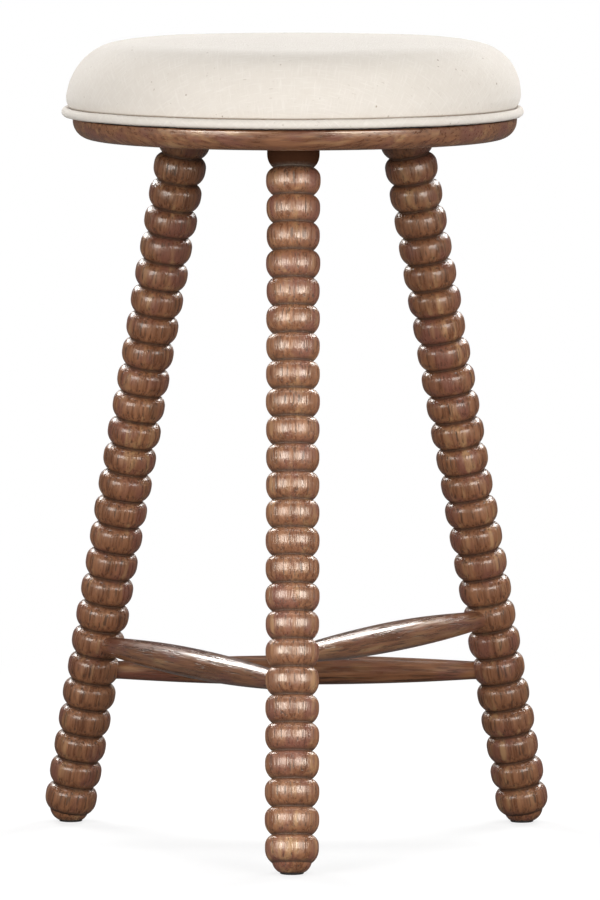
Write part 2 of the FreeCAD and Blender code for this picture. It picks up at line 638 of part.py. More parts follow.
def make_foam():
    """Crowned foam pad, flat where it lies on the board."""
    skin, (shoulder, top) = cushion_skin("Layout.foam_outside")
    corners = [("0", "Layout.seat_board_top"), (skin[0][0], "Layout.seat_board_top"), *skin]
    return seat_level(turned_body("foam_pad", corners, {2: (shoulder, 1), 3: (top, 1)}))


def make_batting():
    """Soft wrap over the top and sides of the foam."""
    outer, (outer_shoulder, outer_top) = cushion_skin("Layout.batting_outside")
    inner, (inner_shoulder, inner_top) = cushion_skin("Layout.batting_inside")
    floor = "Layout.seat_board_top"
    corners = [(inner[0][0], floor), (outer[0][0], floor), *outer, *reversed(inner)]
    arcs = {2: (outer_shoulder, 1), 3: (outer_top, 1), 5: (inner_top, -1), 6: (inner_shoulder, -1)}
    return seat_level(turned_body("batting_wrap", corners, arcs))


def make_seat_cover(staples):
    """Cloth shell: crown, shoulder, sides drawn in to the welt, and a hem turned in under the board."""
    outer, (outer_shoulder, outer_top) = cushion_skin("0")
    inner, (inner_shoulder, inner_top) = cushion_skin("Sizes.cover_fabric")
    corners = [
        ("Layout.hem_inside", "Layout.seat_lip_top"),
        ("Layout.wall_outside", "Layout.seat_lip_top"),
        ("Layout.wall_outside", "Layout.tuck_end"),
        *outer,
        *reversed(inner),
        ("Layout.wall_inside", "Layout.tuck_inside_end"),
        ("Layout.wall_inside", "Layout.seat_board_bottom"),
        ("Layout.hem_inside", "Layout.seat_board_bottom"),
    ]
    arcs = {
        2: ("Sizes.cushion_tuck", 1),
        3: (outer_shoulder, 1),
        4: (outer_top, 1),
        6: (inner_top, -1),
        7: (inner_shoulder, -1),
        8: ("Layout.tuck_inside", -1),
    }
    return cut("seat_cover", seat_level(turned_body("seat_cover_shell", corners, arcs)), [staples])


def make_welt_sleeve(staples):
    """Cloth tube round the welt cord, with a flat lip that is stapled under the board."""
    ring, level = "Layout.welt_ring", "Layout.seat_welt"
    corners = [
        ("Layout.lip_inside", "Layout.seat_lip_bottom"),
        (ring, "Layout.seat_lip_bottom"),
        (f"{ring} + Sizes.welt_radius", level),
        (ring, f"{level} + Sizes.welt_radius"),
        (f"{ring} - Sizes.welt_radius", level),
        ("Layout.lip_joint", "Layout.seat_lip_top"),
        ("Layout.lip_inside", "Layout.seat_lip_top"),
    ]
    arcs = {number: ("Sizes.welt_radius", 1) for number in (1, 2, 3, 4)}
    body = new_body("welt_sleeve_tube")
    sketch = outline(body, corners, arcs)
    circle_in(sketch, (ring, level), "Layout.welt_bore")
    turn(body, sketch)
    return cut("welt_sleeve", seat_level(body), [staples])


def make_welt_cord():
    """Round cord inside the welt."""
    item = doc.addObject("Part::Torus", "welt_cord")
    item.Label = "welt_cord"
    item.setExpression("Radius1", "Layout.welt_ring")
    item.setExpression("Radius2", "Layout.welt_bore - Sizes.cord_clearance")
    place(item, ("0", "0", "Sizes.frame_height + Layout.seat_welt"))
    return item


def waste_disc(label, low, high):
    """Round block that trims the legs level at one height."""
    item = cylinder(label, "Layout.foot_circle + 2 * Sizes.bead_radius", f"{high} - ({low})")
    place(item, ("0", "0", low))
    return item


def make_frame_legs(wedges, above_deck):
    """Each leg: turning trimmed level, tenon through the base, bores for stretchers, wedge and nail."""
    above_underside = waste_disc("above_underside", "Layout.underside", f"Sizes.frame_height + {WASTE}")
    below_foot = waste_disc("below_foot", f"-{WASTE}", "Sizes.glide_thickness")
    legs = []
    for leg in LEGS:
        shaft = cut(f"leg_{leg}_shaft", turn_leg(leg), [above_underside])
        tenon = cylinder(f"leg_{leg}_tenon", "Layout.tenon_radius", f"Sizes.tenon_depth + {TENON_RISE}")
        leg_line(tenon, leg, "Layout.leg_reach - Sizes.tenon_depth")
        joined = doc.addObject("Part::Fuse", f"leg_{leg}_joined")
        joined.Base = shaft
        joined.Tool = tenon
        pilot = cylinder(f"leg_{leg}_pilot", "Sizes.nail_radius", "Sizes.nail_length")
        place(pilot, on_circle("Layout.glide_circle", azimuth(leg), "0"))
        bores = [stretcher_socket(line, leg) for line in STRETCHERS if leg in (line.start_leg, line.end_leg)]
        legs.append(cut(f"leg_{leg}", joined, [above_deck, below_foot, wedges[leg], pilot, *bores]))
    return legs


def tenon_socket(leg):
    """Bore through the seat base for one leg's tenon."""
    item = cylinder(f"leg_{leg}_bore", "Layout.socket_radius", f"2 * Sizes.tenon_depth + {TENON_RISE}")
    return leg_line(item, leg, "Layout.leg_reach - Sizes.tenon_depth")


def build():
    """Make every sub-part and return them in order, from the floor up."""
    base = make_seat_base([tenon_socket(leg) for leg in LEGS])
    above_deck = waste_disc("above_deck", "Sizes.frame_height", f"Sizes.frame_height + {WASTE}")
    blanks = {leg: make_wedge(leg) for leg in LEGS}
    legs = make_frame_legs(blanks, above_deck)
    wedges = [cut(f"tenon_wedge_{leg}", blanks[leg], [above_deck]) for leg in LEGS]
    glides = [make_glide(leg) for leg in LEGS]
    nails = group("glide_nails", [make_nail(leg) for leg in LEGS])
    rails = [make_stretcher(line) for line in STRETCHERS]
    screws = group("seat_screws", [make_screw(number) for number in range(len(LEGS))])
    staples = make_staples()
    seat = [
        make_dust_cover(screws),
        make_seat_board([screws, staples]),
        make_welt_sleeve(staples),
        make_welt_cord(),
        make_foam(),
        make_batting(),
        make_seat_cover(staples),
    ]
    return [*glides, nails, *legs, *rails, base, *wedges, screws, staples, *seat]


def check(parts):
    """Stop if any object failed, or if a sub-part has no sound solid."""
    doc.recompute()
    for item in doc.Objects:
        if "Invalid" in item.State or "Error" in item.State:
            raise RuntimeError(f"{item.Label} did not build: {item.State}")
    for item in parts:
        if item.Shape.isNull() or not item.Shape.isValid() or not item.Shape.Solids:
            raise RuntimeError(f"{item.Label} has no sound solid")


subparts = build()
check(subparts)
os.makedirs("parts", exist_ok=True)
for subpart in subparts:
    subpart.Shape.exportStep(f"parts/{subpart.Label}.step")
    print(f"{subpart.Label}: {len(subpart.Shape.Solids)} solid(s), {subpart.Shape.Volume / 1000:.1f} cm3")
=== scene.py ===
import json
import math

import bpy
import numpy as np
from bpy.props import FloatProperty, FloatVectorProperty, IntProperty, PointerProperty
from bpy.types import Operator, Panel, PropertyGroup
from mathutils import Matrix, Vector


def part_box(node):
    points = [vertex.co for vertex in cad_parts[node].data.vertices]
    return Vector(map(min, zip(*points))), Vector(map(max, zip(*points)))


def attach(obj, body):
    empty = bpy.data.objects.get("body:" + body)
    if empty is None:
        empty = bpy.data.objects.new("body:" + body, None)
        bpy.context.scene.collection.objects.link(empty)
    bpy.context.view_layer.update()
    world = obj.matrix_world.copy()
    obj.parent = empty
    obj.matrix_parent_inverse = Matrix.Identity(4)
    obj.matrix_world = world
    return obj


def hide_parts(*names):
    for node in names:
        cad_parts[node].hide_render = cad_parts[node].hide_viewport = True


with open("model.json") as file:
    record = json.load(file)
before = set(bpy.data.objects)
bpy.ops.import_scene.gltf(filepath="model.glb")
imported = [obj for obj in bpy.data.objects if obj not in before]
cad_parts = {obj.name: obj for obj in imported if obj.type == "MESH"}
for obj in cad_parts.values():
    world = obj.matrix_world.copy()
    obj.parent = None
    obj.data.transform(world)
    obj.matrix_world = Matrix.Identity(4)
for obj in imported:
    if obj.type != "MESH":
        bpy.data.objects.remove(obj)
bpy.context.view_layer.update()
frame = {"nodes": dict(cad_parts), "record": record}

bl_info = {
    "name": "Bobbin-turned Counter Stool",
    "version": (1, 0, 0),
    "blender": (4, 5, 0),
    "location": "View3D > Sidebar > Stool",
    "description": "Dresses the packed counter stool: turned wooden frame, padded seat and studio",
    "category": "Object",
}

BODY = "root"
SEED = 20
NODES = frame["nodes"]
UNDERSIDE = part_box("seat_base")[0].z
WELT_LOW, WELT_HIGH = (corner.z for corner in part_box("welt_sleeve"))
WELT_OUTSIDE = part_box("welt_sleeve")[1].x
CUSHION_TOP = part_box("seat_cover")[1].z
CUSHION_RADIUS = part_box("seat_cover")[1].x
CUSHION_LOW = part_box("seat_cover")[0].z
DUST_LOW, DUST_HIGH = (corner.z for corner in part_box("dust_cover"))
DUST_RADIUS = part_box("dust_cover")[1].x
GLIDE_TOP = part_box("glide_front")[1].z
# Direction of each leg about Z, in degrees, and the leg where each stretcher starts on its way to the next.
LEG_AZIMUTHS = {"front": 270.0, "right": 30.0, "left": 150.0}
STRETCHER_STARTS = {"right": "front", "back": "right", "left": "left"}
LEG_STEP = 120.0
# Tone of the stain, by beads below the seat: painted shade of the seat at the top of the front leg and on the
# upper beads of the back legs, which are also darker all down.
FRONT_LEG_PAINTED_SHADE = ((0.6, 1.3), (0.06, 1.0))
BACK_LEG_TONE_AND_SHADE = ((0.6, 1.3, 8, 14, 20), (0.38, 0.60, 0.84, 0.82, 0.76))
STRETCHER_TONE = 0.65
# Growth rings of the wood, plies of the board and threads of the cotton, from one to the next in metres.
GROWTH_RING = 0.0052
PLY = 0.0024
THREAD = 0.00085
# Smallest ring round a pole of the cushion's underside and of the dust cloth.
POLE_RING = 0.02
# Points along the tuck of the cushion's outline; its shoulder and crown have about twice as many.
OUTLINE_POINTS = 24
# Seam of the cushion above the welt, and the height of the painted shadow above a seam.
SEAM_RISE = 0.0005
SEAM_SHADOW = 0.0018
# Frames of cloth simulation, and the share of its unevenness that the cushion keeps.
SWELL_FRAMES = 20
UNEVEN_SHARE = 0.3
WHITE = (1.0, 1.0, 1.0, 1.0)
# Share of the white surroundings that shows in the lacquer.
IN_LACQUER = 0.1
# Usual distance of a lamp, and the height that the lamps aim at.
LAMP_DISTANCE = 2.2
LAMP_AIM = 0.36
# Half the width and half the depth of the floor, and the points along each of its sides.
FLOOR_HALF = (30, 40)
FLOOR_POINTS = 9


def length(name, description, default):
    """Length property in metres."""
    return FloatProperty(name=name, description=description, default=default, unit="LENGTH", precision=5)


def bearing(name, description, degrees):
    """Angle property, with its default given in degrees."""
    return FloatProperty(name=name, description=description, default=math.radians(degrees), unit="ROTATION")


def watts(name, description, default):
    """Lamp power property."""
    return FloatProperty(name=name, description=description, default=default, unit="POWER")


def whole_number(name, description, default):
    """Whole number property."""
    return IntProperty(name=name, description=description, default=default)


def colour(name, description, default):
    """Linear colour property."""
    limits = {"min": 0, "max": 1}
    return FloatVectorProperty(name=name, description=description, default=default, subtype="COLOR", **limits)


class FrameSizes(PropertyGroup):
    """Sizes of the turned legs and stretchers."""

    leg_circle: length("Leg circle", "Radius of the leg axes at the underside of the base", 0.1045)
    splay: bearing("Splay", "Lean of each leg", 11.4)
    bead_pitch: length("Bead pitch", "Groove to groove along a leg", 0.02245)
    bead_radius: length("Bead radius", "Leg at the crown of a bead", 0.0217)
    groove_depth: length("Groove depth", "Crown of a bead down to the groove", 0.0056)
    crown_radius: length("Crown radius", "Curve over the crown of a bead", 0.034)
    crown_half: length("Crown half", "Half the length of that curve", 0.0025)
    crown_shift: length("Crown shift", "Middle of that curve above the middle of the bead", 0.0011)
    foot_radius: length("Foot radius", "Button foot at its top", 0.0159)
    foot_round: length("Foot round", "Rise of the foot's bowl, and its growth in radius", 0.0088)
    foot_bowl: length("Foot bowl", "Curve of that bowl", 0.012)
    foot_stub: length("Foot stub", "Straight part below the bowl", 0.0003)
    bead_wander: length("Bead wander", "Unevenness of the hand-turned beads", 0.00018)
    stretcher_radius: length("Stretcher end", "Radius of a stretcher at its ends", 0.0075)
    stretcher_swell: length("Stretcher swell", "Growth of that radius at mid-length", 0.0047)
    stretcher_stop: length("Stretcher stop", "End of a stretcher short of the leg's axis", 0.004)
    stretcher_reveal: length("Stretcher reveal", "Straight end outside the bead", 0.001)
    stretcher_drop: length("Stretcher drop", "Stretcher below the middle of its bead", 0.002)
    stretcher_wander: length("Stretcher wander", "Unevenness of the hand-turned stretchers", 0.00012)
    back_bead: whole_number("Back bead", "Bead of the back stretcher, from the foot", 6)
    left_bead: whole_number("Left bead", "Bead of the left stretcher, from the foot", 7)
    right_bead: whole_number("Right bead", "Bead of the right stretcher, from the foot", 8)


class SeatSizes(PropertyGroup):
    """Sizes of the padded seat."""

    shoulder: length("Shoulder", "Round from the cushion's side to its top", 0.0464)
    crown: length("Crown", "Rise of the top above that round", 0.0043)
    tuck: length("Tuck", "Round that draws the cushion in to the welt", 0.0105)
    overhang: length("Overhang", "Widest part of the cushion past its wall", 0.0049)
    slack: length("Slack", "How far the cover swells from its start shape", 0.004)
    voxel: length("Voxel", "Cell of the cushion's mesh before it swells", 0.0045)
    pressure: FloatProperty(name="Pressure", description="Push of the stuffing on the cover", default=4.0)
    evening: whole_number("Evening", "Rounds in which the wadding evens out the cover", 40)
    gather: length("Gather", "Depth of the gathers above the seam", 0.00012)
    pad_at_welt: length("Pad at the welt", "How far the pad sits to the right of the frame's axis", -0.0018)
    pad_at_crown: length("Pad at the crown", "The same at the crown", 0.0018)
    welt_radius: length("Welt radius", "Welt over its cloth", 0.00375)
    welt_lip: length("Welt lip", "Flat of the welt's cloth under the board", 0.020)
    cloth: length("Cloth", "Thickness of the welt's cloth", 0.0008)
    pucker: length("Pucker", "Depth of the slanting puckers along the welt", 0.00012)


class Finishes(PropertyGroup):
    """Colours of the finishes, linear."""

    stain_dark: colour("Dark stain", "Late wood under the stain", (0.115, 0.040, 0.019))
    stain_mid: colour("Stain", "Wood under the stain", (0.370, 0.158, 0.072))
    stain_light: colour("Light stain", "Golden flecks in the wood", (0.520, 0.300, 0.140))
    stain_red: colour("Red stain", "Purple-brown patches in the wood", (0.220, 0.080, 0.055))
    # The pore colour also paints shade, in the grooves and under the seat.
    pore: colour("Pore", "Stain lying in the pores and grooves", (0.040, 0.016, 0.008))
    cloth: colour("Cloth", "Natural cotton", (0.635, 0.580, 0.515))
    cloth_light: colour("Light thread", "Paler threads", (0.745, 0.700, 0.640))
    # The fleck colour also paints the shadow just above a seam.
    fleck: colour("Fleck", "Seed flecks in the cotton", (0.290, 0.215, 0.150))
    glide: colour("Glide", "Moulded glide", (0.018, 0.014, 0.012))
    floor: colour("Floor", "Floor as the stool meets its light", (0.10, 0.10, 0.10))


class StageSettings(PropertyGroup):
    """Camera and lights."""

    lens: FloatProperty(name="Lens", description="Focal length, 36 mm frame", default=394.97, unit="CAMERA")
    distance: length("Distance", "Camera from the seat's axis, level", 8.0579)
    height: length("Height", "Camera above the floor", 1.0613)
    turn: bearing("Turn", "Camera about Z", 0.626)
    aim: bearing("Aim", "Heading of the camera", 0.596)
    pitch: bearing("Pitch", "Camera below level", 5.252)
    key_power: watts("Key power", "Each front softbox", 28.5)
    rim_power: watts("Rim power", "Each softbox behind", 28.0)
    top_power: watts("Top power", "Each small lamp above", 4.5)
    side_power: watts("Side power", "Fill from the sides, shared out unevenly", 11.0)
    low_power: watts("Low power", "Fill from low in front", 8.0)
    hair_power: watts("Hair power", "Lamp overhead, a little behind", 15.0)
    key_width: length("Key width", "Width of a front softbox", 1.3)
    key_height: length("Key height", "Height of a front softbox", 0.8)
    sky: FloatProperty(name="Sky", description="Light from above", default=0.04)
    horizon: FloatProperty(name="Horizon", description="Light from the sides", default=0.008)


class StoolSettings(PropertyGroup):
    """Everything that a user would change."""

    frame: PointerProperty(type=FrameSizes)
    seat: PointerProperty(type=SeatSizes)
    finishes: PointerProperty(type=Finishes)
    stage: PointerProperty(type=StageSettings)


def settings():
    """The stool's settings in this scene."""
    return bpy.context.scene.stool


class Wire:
    """One value in a material. Arithmetic on it adds Math nodes."""

    def __init__(self, finish, socket):
        self.finish = finish
        self.socket = socket

    def math(self, operation, first, second=0.0):
        made = self.finish.node("ShaderNodeMath", {"operation": operation}, {0: first, 1: second})
        return Wire(self.finish, made.outputs[0])

    def __add__(self, other):
        return self.math("ADD", self, other)

    def __sub__(self, other):
        return self.math("SUBTRACT", self, other)

    def __rsub__(self, other):
        return self.math("SUBTRACT", other, self)

    def __mul__(self, other):
        return self.math("MULTIPLY", self, other)

    def __pow__(self, other):
        return self.math("POWER", self, other)

    __radd__ = __add__
    __rmul__ = __mul__

    def sin(self):
        return self.math("SINE", self)

    def wave(self, pitch):
        """Sine that repeats at a pitch."""
        return (self * (2 * math.pi / pitch)).sin()

    def sqrt(self):
        return self.math("SQRT", self)

    def least(self, other):
        return self.math("MINIMUM", self, other)

    def most(self, other):
        return self.math("MAXIMUM", self, other)

    def step(self, low, high):
        """0 below low, 1 above high and smooth between; low may be the larger."""
        flip = low > high
        inputs = {"Value": self, "From Min": min(low, high), "From Max": max(low, high)}
        made = self.finish.node("ShaderNodeMapRange", {"interpolation_type": "SMOOTHSTEP"}, inputs)
        out = Wire(self.finish, made.outputs["Result"])
        return 1 - out if flip else out


class Graph:
    """The nodes of a material or of the world."""

    def __init__(self, tree):
        self.tree = tree

    def node(self, kind, options=None, inputs=None):
        """Add a node of any kind: its options are set first, then its sockets are given values or links."""
        made = self.tree.nodes.new(kind)
        for name, value in (options or {}).items():
            setattr(made, name, value)
        for name, value in (inputs or {}).items():
            if isinstance(value, Wire):
                self.tree.links.new(value.socket, made.inputs[name])
            else:
                made.inputs[name].default_value = value
        return made

    def split(self, vector):
        """The three numbers of a vector."""
        made = self.node("ShaderNodeSeparateXYZ", {}, {0: vector})
        return [Wire(self, socket) for socket in made.outputs]

    def rays(self):
        """Camera rays, glossy rays, and the share of a ray that sees the plain white surroundings.

        That share is all of it from the camera or through something clear, and a little of it in the lacquer.
        """
        path = self.node("ShaderNodeLightPath").outputs
        kinds = ("Is Camera Ray", "Is Glossy Ray", "Is Transmission Ray")
        camera, glossy, clear = (Wire(self, path[kind]) for kind in kinds)
        return camera, glossy, camera.most(clear).most(glossy * IN_LACQUER)

    def blend(self, share, first, second):
        """Show the second shader in place of the first one, by a share."""
        mix = self.node("ShaderNodeMixShader", {}, {0: share})
        output = next(node for node in self.tree.nodes if node.type.startswith("OUTPUT"))
        self.tree.links.new(first.outputs[0], mix.inputs[1])
        self.tree.links.new(second.outputs[0], mix.inputs[2])
        self.tree.links.new(mix.outputs[0], output.inputs["Surface"])


def socket_name(word):
    """Name of a shader's socket: base_color is Base Color."""
    return word.replace("_", " ").title().replace("Ior", "IOR")


class Finish(Graph):
    """A material with one principled shader, and the nodes that feed it."""

    def __init__(self, name, **constants):
        self.material = bpy.data.materials.new(name)
        self.material.use_nodes = True
        super().__init__(self.material.node_tree)
        self.shader = next(node for node in self.tree.nodes if node.type == "BSDF_PRINCIPLED")
        for word, value in constants.items():
            self.shader.inputs[socket_name(word)].default_value = value

    def attribute(self, name):
        """A vector that the mesh carries."""
        return Wire(self, self.node("ShaderNodeAttribute", {"attribute_name": name}).outputs["Vector"])

    def amount(self, name):
        """A number that the mesh carries."""
        return Wire(self, self.node("ShaderNodeAttribute", {"attribute_name": name}).outputs["Fac"])

    def place(self, turn=(0, 0, 0), shift=(0, 0, 0)):
        """Object coordinates, turned and moved."""
        source = Wire(self, self.node("ShaderNodeTexCoord").outputs["Object"])
        made = self.node("ShaderNodeMapping", {}, {"Vector": source, "Rotation": turn, "Location": shift})
        return Wire(self, made.outputs["Vector"])

    def stretch(self, vector, scale):
        """A vector times a constant one."""
        made = self.node("ShaderNodeVectorMath", {"operation": "MULTIPLY"}, {0: vector, 1: scale})
        return Wire(self, made.outputs["Vector"])

    def noise(self, vector, scale, detail=2.0, roughness=0.5):
        """Soft noise, 0 to 1, with a scale along each axis."""
        spread = self.stretch(vector, scale)
        inputs = {"Vector": spread, "Scale": 1.0, "Detail": detail, "Roughness": roughness}
        return Wire(self, self.node("ShaderNodeTexNoise", {}, inputs).outputs["Fac"])

    def cells(self, vector, scale, randomness=1.0):
        """Distance to the nearest of scattered points."""
        inputs = {"Vector": self.stretch(vector, scale), "Scale": 1.0, "Randomness": randomness}
        return Wire(self, self.node("ShaderNodeTexVoronoi", {}, inputs).outputs["Distance"])

    def mix(self, factor, first, second):
        """First colour at factor 0, second at factor 1."""
        wide = [(*c, 1) if isinstance(c, tuple) else c for c in (first, second)]
        made = self.node("ShaderNodeMix", {"data_type": "RGBA"}, {0: factor, 6: wide[0], 7: wide[1]})
        return Wire(self, made.outputs[2])

    def shade(self, tint, factor):
        """A colour times a number."""
        made = self.node("ShaderNodeVectorMath", {"operation": "SCALE"}, {0: tint, "Scale": factor})
        return Wire(self, made.outputs["Vector"])

    def feed(self, **sockets):
        """Link values to the shader."""
        for word, value in sockets.items():
            self.tree.links.new(value.socket, self.shader.inputs[socket_name(word)])

    def bump(self, height, depth, strength=1.0):
        """Raise the surface by height times depth in metres, in shading only."""
        made = self.node("ShaderNodeBump", {}, {"Height": height, "Distance": depth, "Strength": strength})
        self.feed(normal=Wire(self, made.outputs["Normal"]))


def rgb(value):
    """Plain tuple of a colour property."""
    return tuple(value)


def wood_finish(name, on_attribute, coat, sheen, turn=(0, 0, 0), shift=(0, 0, 0)):
    """Stained open-grained hardwood under satin lacquer, the grain along Z of its own coordinates.

    Rings about an off-centre pith, streaks and pores drawn out along the grain, and golden flecks. Turned
    pieces carry a groove depth and a tone: the grooves are darker, partly stain and partly painted shade, and
    the tone holds painted shade under the seat, where at its lowest a dull dark shader stands in for the
    lacquer.
    """
    tints = settings().finishes
    finish = Finish(
        name, ior=1.7, specular_ior_level=sheen, specular_tint=(1.0, 0.88, 0.74, 1.0), coat_weight=coat,
        coat_roughness=0.1,
    )
    spot = finish.attribute("wood") if on_attribute else finish.place(turn, shift)
    across, deep, _ = finish.split(spot)
    drift = finish.noise(spot, (22, 22, 3), 3)
    reach = ((across + 0.041) ** 2 + (deep - 0.017) ** 2).sqrt() + drift * 0.016
    ring = reach.wave(GROWTH_RING) * 0.5 + 0.5
    streak = finish.noise(spot, (330, 330, 16), 4, 0.62)
    fine = finish.noise(spot, (980, 980, 42), 2)
    broad = finish.noise(spot, (70, 70, 12), 3)
    patch = finish.noise(spot, (48, 48, 26), 2)
    fleck = finish.noise(spot, (150, 150, 22), 2).step(0.50, 0.74)
    pore = finish.noise(spot, (640, 640, 40), 2).step(0.58, 0.68)
    depth = ring * 0.12 + streak.step(0.36, 0.62) * 0.52 + fine.step(0.3, 0.7) * 0.12
    depth = depth + broad.step(0.3, 0.7) * 0.26
    rough = 0.25 + streak.step(0.35, 0.65) * 0.16 + pore * 0.15
    tint = finish.mix(depth, rgb(tints.stain_dark), rgb(tints.stain_mid))
    tint = finish.mix(patch.step(0.46, 0.64) * 0.75, tint, rgb(tints.stain_red))
    tint = finish.mix((fleck * broad.step(0.36, 0.62)) * 0.7, tint, rgb(tints.stain_light))
    tint = finish.mix(pore * (0.75 if on_attribute else 0.35), tint, rgb(tints.pore))
    if on_attribute:
        # Grooves: stain pooled in them and painted shade, by the pore colour, rougher lacquer and less coat.
        groove = finish.amount("groove")
        tint = finish.mix(groove.step(0.35, 1.0) * 0.85, tint, rgb(tints.pore))
        # Tone: painted shade of the seat on the legs' upper beads, and a darker stain on the back legs and
        # stretchers.
        tone = finish.amount("tone")
        tint = finish.shade(tint, tone)
        rough = rough + groove.step(0.5, 1.0) * 0.4
        # Painted shade: at the lowest tone, under the seat, a dull diffuse shader in the pore colour replaces
        # the lacquer.
        painted_shade_dull = finish.node("ShaderNodeBsdfDiffuse", {}, {"Color": (*tints.pore, 1)})
        finish.blend(tone.step(0.3, 0.08), finish.shader, painted_shade_dull)
        finish.feed(coat_weight=(1 - groove.step(0.4, 0.9)) * coat)
        relief = 1.0
    else:
        tint = finish.shade(tint, 0.75)
        relief = 0.25
    finish.feed(base_color=tint)
    finish.feed(roughness=rough)
    finish.bump((streak * 0.9 + fine * 0.8 - pore * 0.35) * relief, 0.0005, 1.0)
    return finish.material


def cloth_finish(name, seam):
    """Plain-woven natural cotton: crossing threads, slubs along both and scattered seed flecks.

    A painted shadow darkens the cloth just above the seam, whose height is given.
    """
    tints = settings().finishes
    finish = Finish(name, roughness=0.92, sheen_weight=0.28, sheen_roughness=0.5, specular_ior_level=0.2)
    spot = finish.attribute("cloth")
    along, over, _ = finish.split(spot)
    wander = finish.noise(spot, (60, 60, 60), 2) * 0.0012
    warp = (along + wander).wave(THREAD)
    weft = (over + wander).wave(THREAD)
    weave = warp * weft * 0.5 + 0.5
    slub_across = finish.noise(spot, (60, 640, 1), 3).step(0.50, 0.72)
    slub_down = finish.noise(spot, (640, 60, 1), 3).step(0.50, 0.72)
    slub = slub_across.most(slub_down)
    tone = finish.noise(spot, (60, 60, 60), 5, 0.7)
    dots = finish.cells(spot, (105, 105, 105)).step(0.12, 0.05)
    chosen = finish.noise(spot, (31, 31, 31), 1).step(0.46, 0.56)
    dash_down = finish.noise(spot, (140, 520, 1), 1).step(0.72, 0.79)
    dash_across = finish.noise(spot, (520, 140, 1), 1).step(0.73, 0.8)
    dash = dash_down + dash_across
    pale = slub * 0.34 + weave * 0.18 + tone * 0.5 - 0.1
    tint = finish.mix(pale, rgb(tints.cloth), rgb(tints.cloth_light))
    tint = finish.mix((dots * chosen * 0.8 + dash * 0.3).least(0.85), tint, rgb(tints.fleck))
    # Painted shadow: the fleck colour darkens the cloth just above the seam, where it goes down into the
    # crease.
    _, _, up = finish.split(finish.place())
    tint = finish.mix(up.step(seam + SEAM_SHADOW, seam) * 0.9, tint, rgb(tints.fleck))
    finish.feed(base_color=tint)
    finish.bump(weave * 0.6 + slub * 0.8 + tone * 0.4, 0.00016, 0.7)
    return finish.material


def moulded_finish(name):
    """Dark moulded plastic with a fine texture and scuffs."""
    finish = Finish(name, roughness=0.5)
    spot = finish.place()
    grain = finish.noise(spot, (1500, 1500, 1500), 2)
    scuff = finish.noise(spot, (160, 700, 160), 3).step(0.58, 0.75)
    finish.feed(base_color=finish.mix(scuff * 0.3, rgb(settings().finishes.glide), (0.09, 0.085, 0.08)))
    finish.feed(roughness=0.45 + grain * 0.15 + scuff * 0.15)
    finish.bump(grain, 0.00008, 0.5)
    return finish.material


def steel_finish(name):
    """Zinc-plated steel with drawn lines and dull patches."""
    finish = Finish(name, metallic=1.0, roughness=0.35)
    spot = finish.place()
    patch = finish.noise(spot, (240, 240, 240), 3)
    drawn = finish.noise(spot, (2500, 2500, 150), 2)
    finish.feed(base_color=finish.mix(patch, (0.46, 0.46, 0.45), (0.66, 0.66, 0.67)))
    finish.feed(roughness=0.28 + drawn * 0.2)
    finish.bump(drawn, 0.00003, 0.4)
    return finish.material


def plywood_finish(name):
    """Raw plywood: long streaks on the faces and plies along the edge."""
    finish = Finish(name, roughness=0.7)
    spot = finish.place()
    _, _, up = finish.split(spot)
    streak = finish.noise(spot, (9, 160, 160), 4)
    ply = up.wave(PLY) * 0.5 + 0.5
    finish.feed(base_color=finish.mix(streak * 0.7 + ply * 0.3, (0.36, 0.22, 0.11), (0.62, 0.45, 0.27)))
    finish.bump(streak, 0.0001, 0.6)
    return finish.material


def dust_finish(name):
    """Thin black non-woven cloth with a dimpled press pattern."""
    finish = Finish(name, roughness=0.9, sheen_weight=0.2)
    spot = finish.place()
    dimple = finish.cells(spot, (900, 900, 900), 0.3).step(0.2, 0.5)
    fibre = finish.noise(spot, (500, 500, 500), 4)
    finish.feed(base_color=finish.mix(fibre, (0.008, 0.008, 0.009), (0.035, 0.034, 0.035)))
    finish.bump(dimple + fibre, 0.0001, 0.6)
    return finish.material


def turn_angles(columns):
    """Angles of a full turn in even steps."""
    return np.arange(columns) * (2 * math.pi / columns)


def wrapped_quads(rows, columns):
    """Quads of a grid whose columns close on themselves.

    They face outwards when the columns run anticlockwise and the rows climb.
    """
    row, column = np.meshgrid(np.arange(rows - 1), np.arange(columns), indexing="ij")
    after = (column + 1) % columns
    low, high = row * columns, (row + 1) * columns
    return np.stack((low + column, low + after, high + after, high + column), -1).reshape(-1, 4)


def pole_fan(ring, pole, upward):
    """Triangles from a closed ring of points to one pole."""
    after = np.roll(ring, -1)
    pair = (ring, after) if upward else (after, ring)
    return np.stack((*pair, np.full_like(ring, pole)), -1)


def new_piece(name, points, quads, triangles=None):
    """Mesh object at the origin from arrays of points, quads and triangles, shaded smooth."""
    triangles = np.empty((0, 3), int) if triangles is None else triangles
    mesh = bpy.data.meshes.new(name)
    mesh.vertices.add(len(points))
    mesh.vertices.foreach_set("co", points.astype(np.float32).ravel())
    corners = np.concatenate((quads.ravel(), triangles.ravel()))
    mesh.loops.add(corners.size)
    mesh.loops.foreach_set("vertex_index", corners.astype(np.int32))
    mesh.polygons.add(len(quads) + len(triangles))
    starts = np.concatenate((np.arange(len(quads)) * 4, quads.size + np.arange(len(triangles)) * 3))
    mesh.polygons.foreach_set("loop_start", starts.astype(np.int32))
    mesh.polygons.foreach_set("use_smooth", np.ones(len(starts), bool))
    mesh.update(calc_edges=True)
    mesh.validate()
    piece = bpy.data.objects.new(name, mesh)
    bpy.context.scene.collection.objects.link(piece)
    return piece


def carry(piece, name, values):
    """Store a number or a vector for each point of a piece."""
    vector = values.ndim == 2
    layer = piece.data.attributes.new(name, "FLOAT_VECTOR" if vector else "FLOAT", "POINT")
    layer.data.foreach_set("vector" if vector else "value", values.astype(np.float32).ravel())


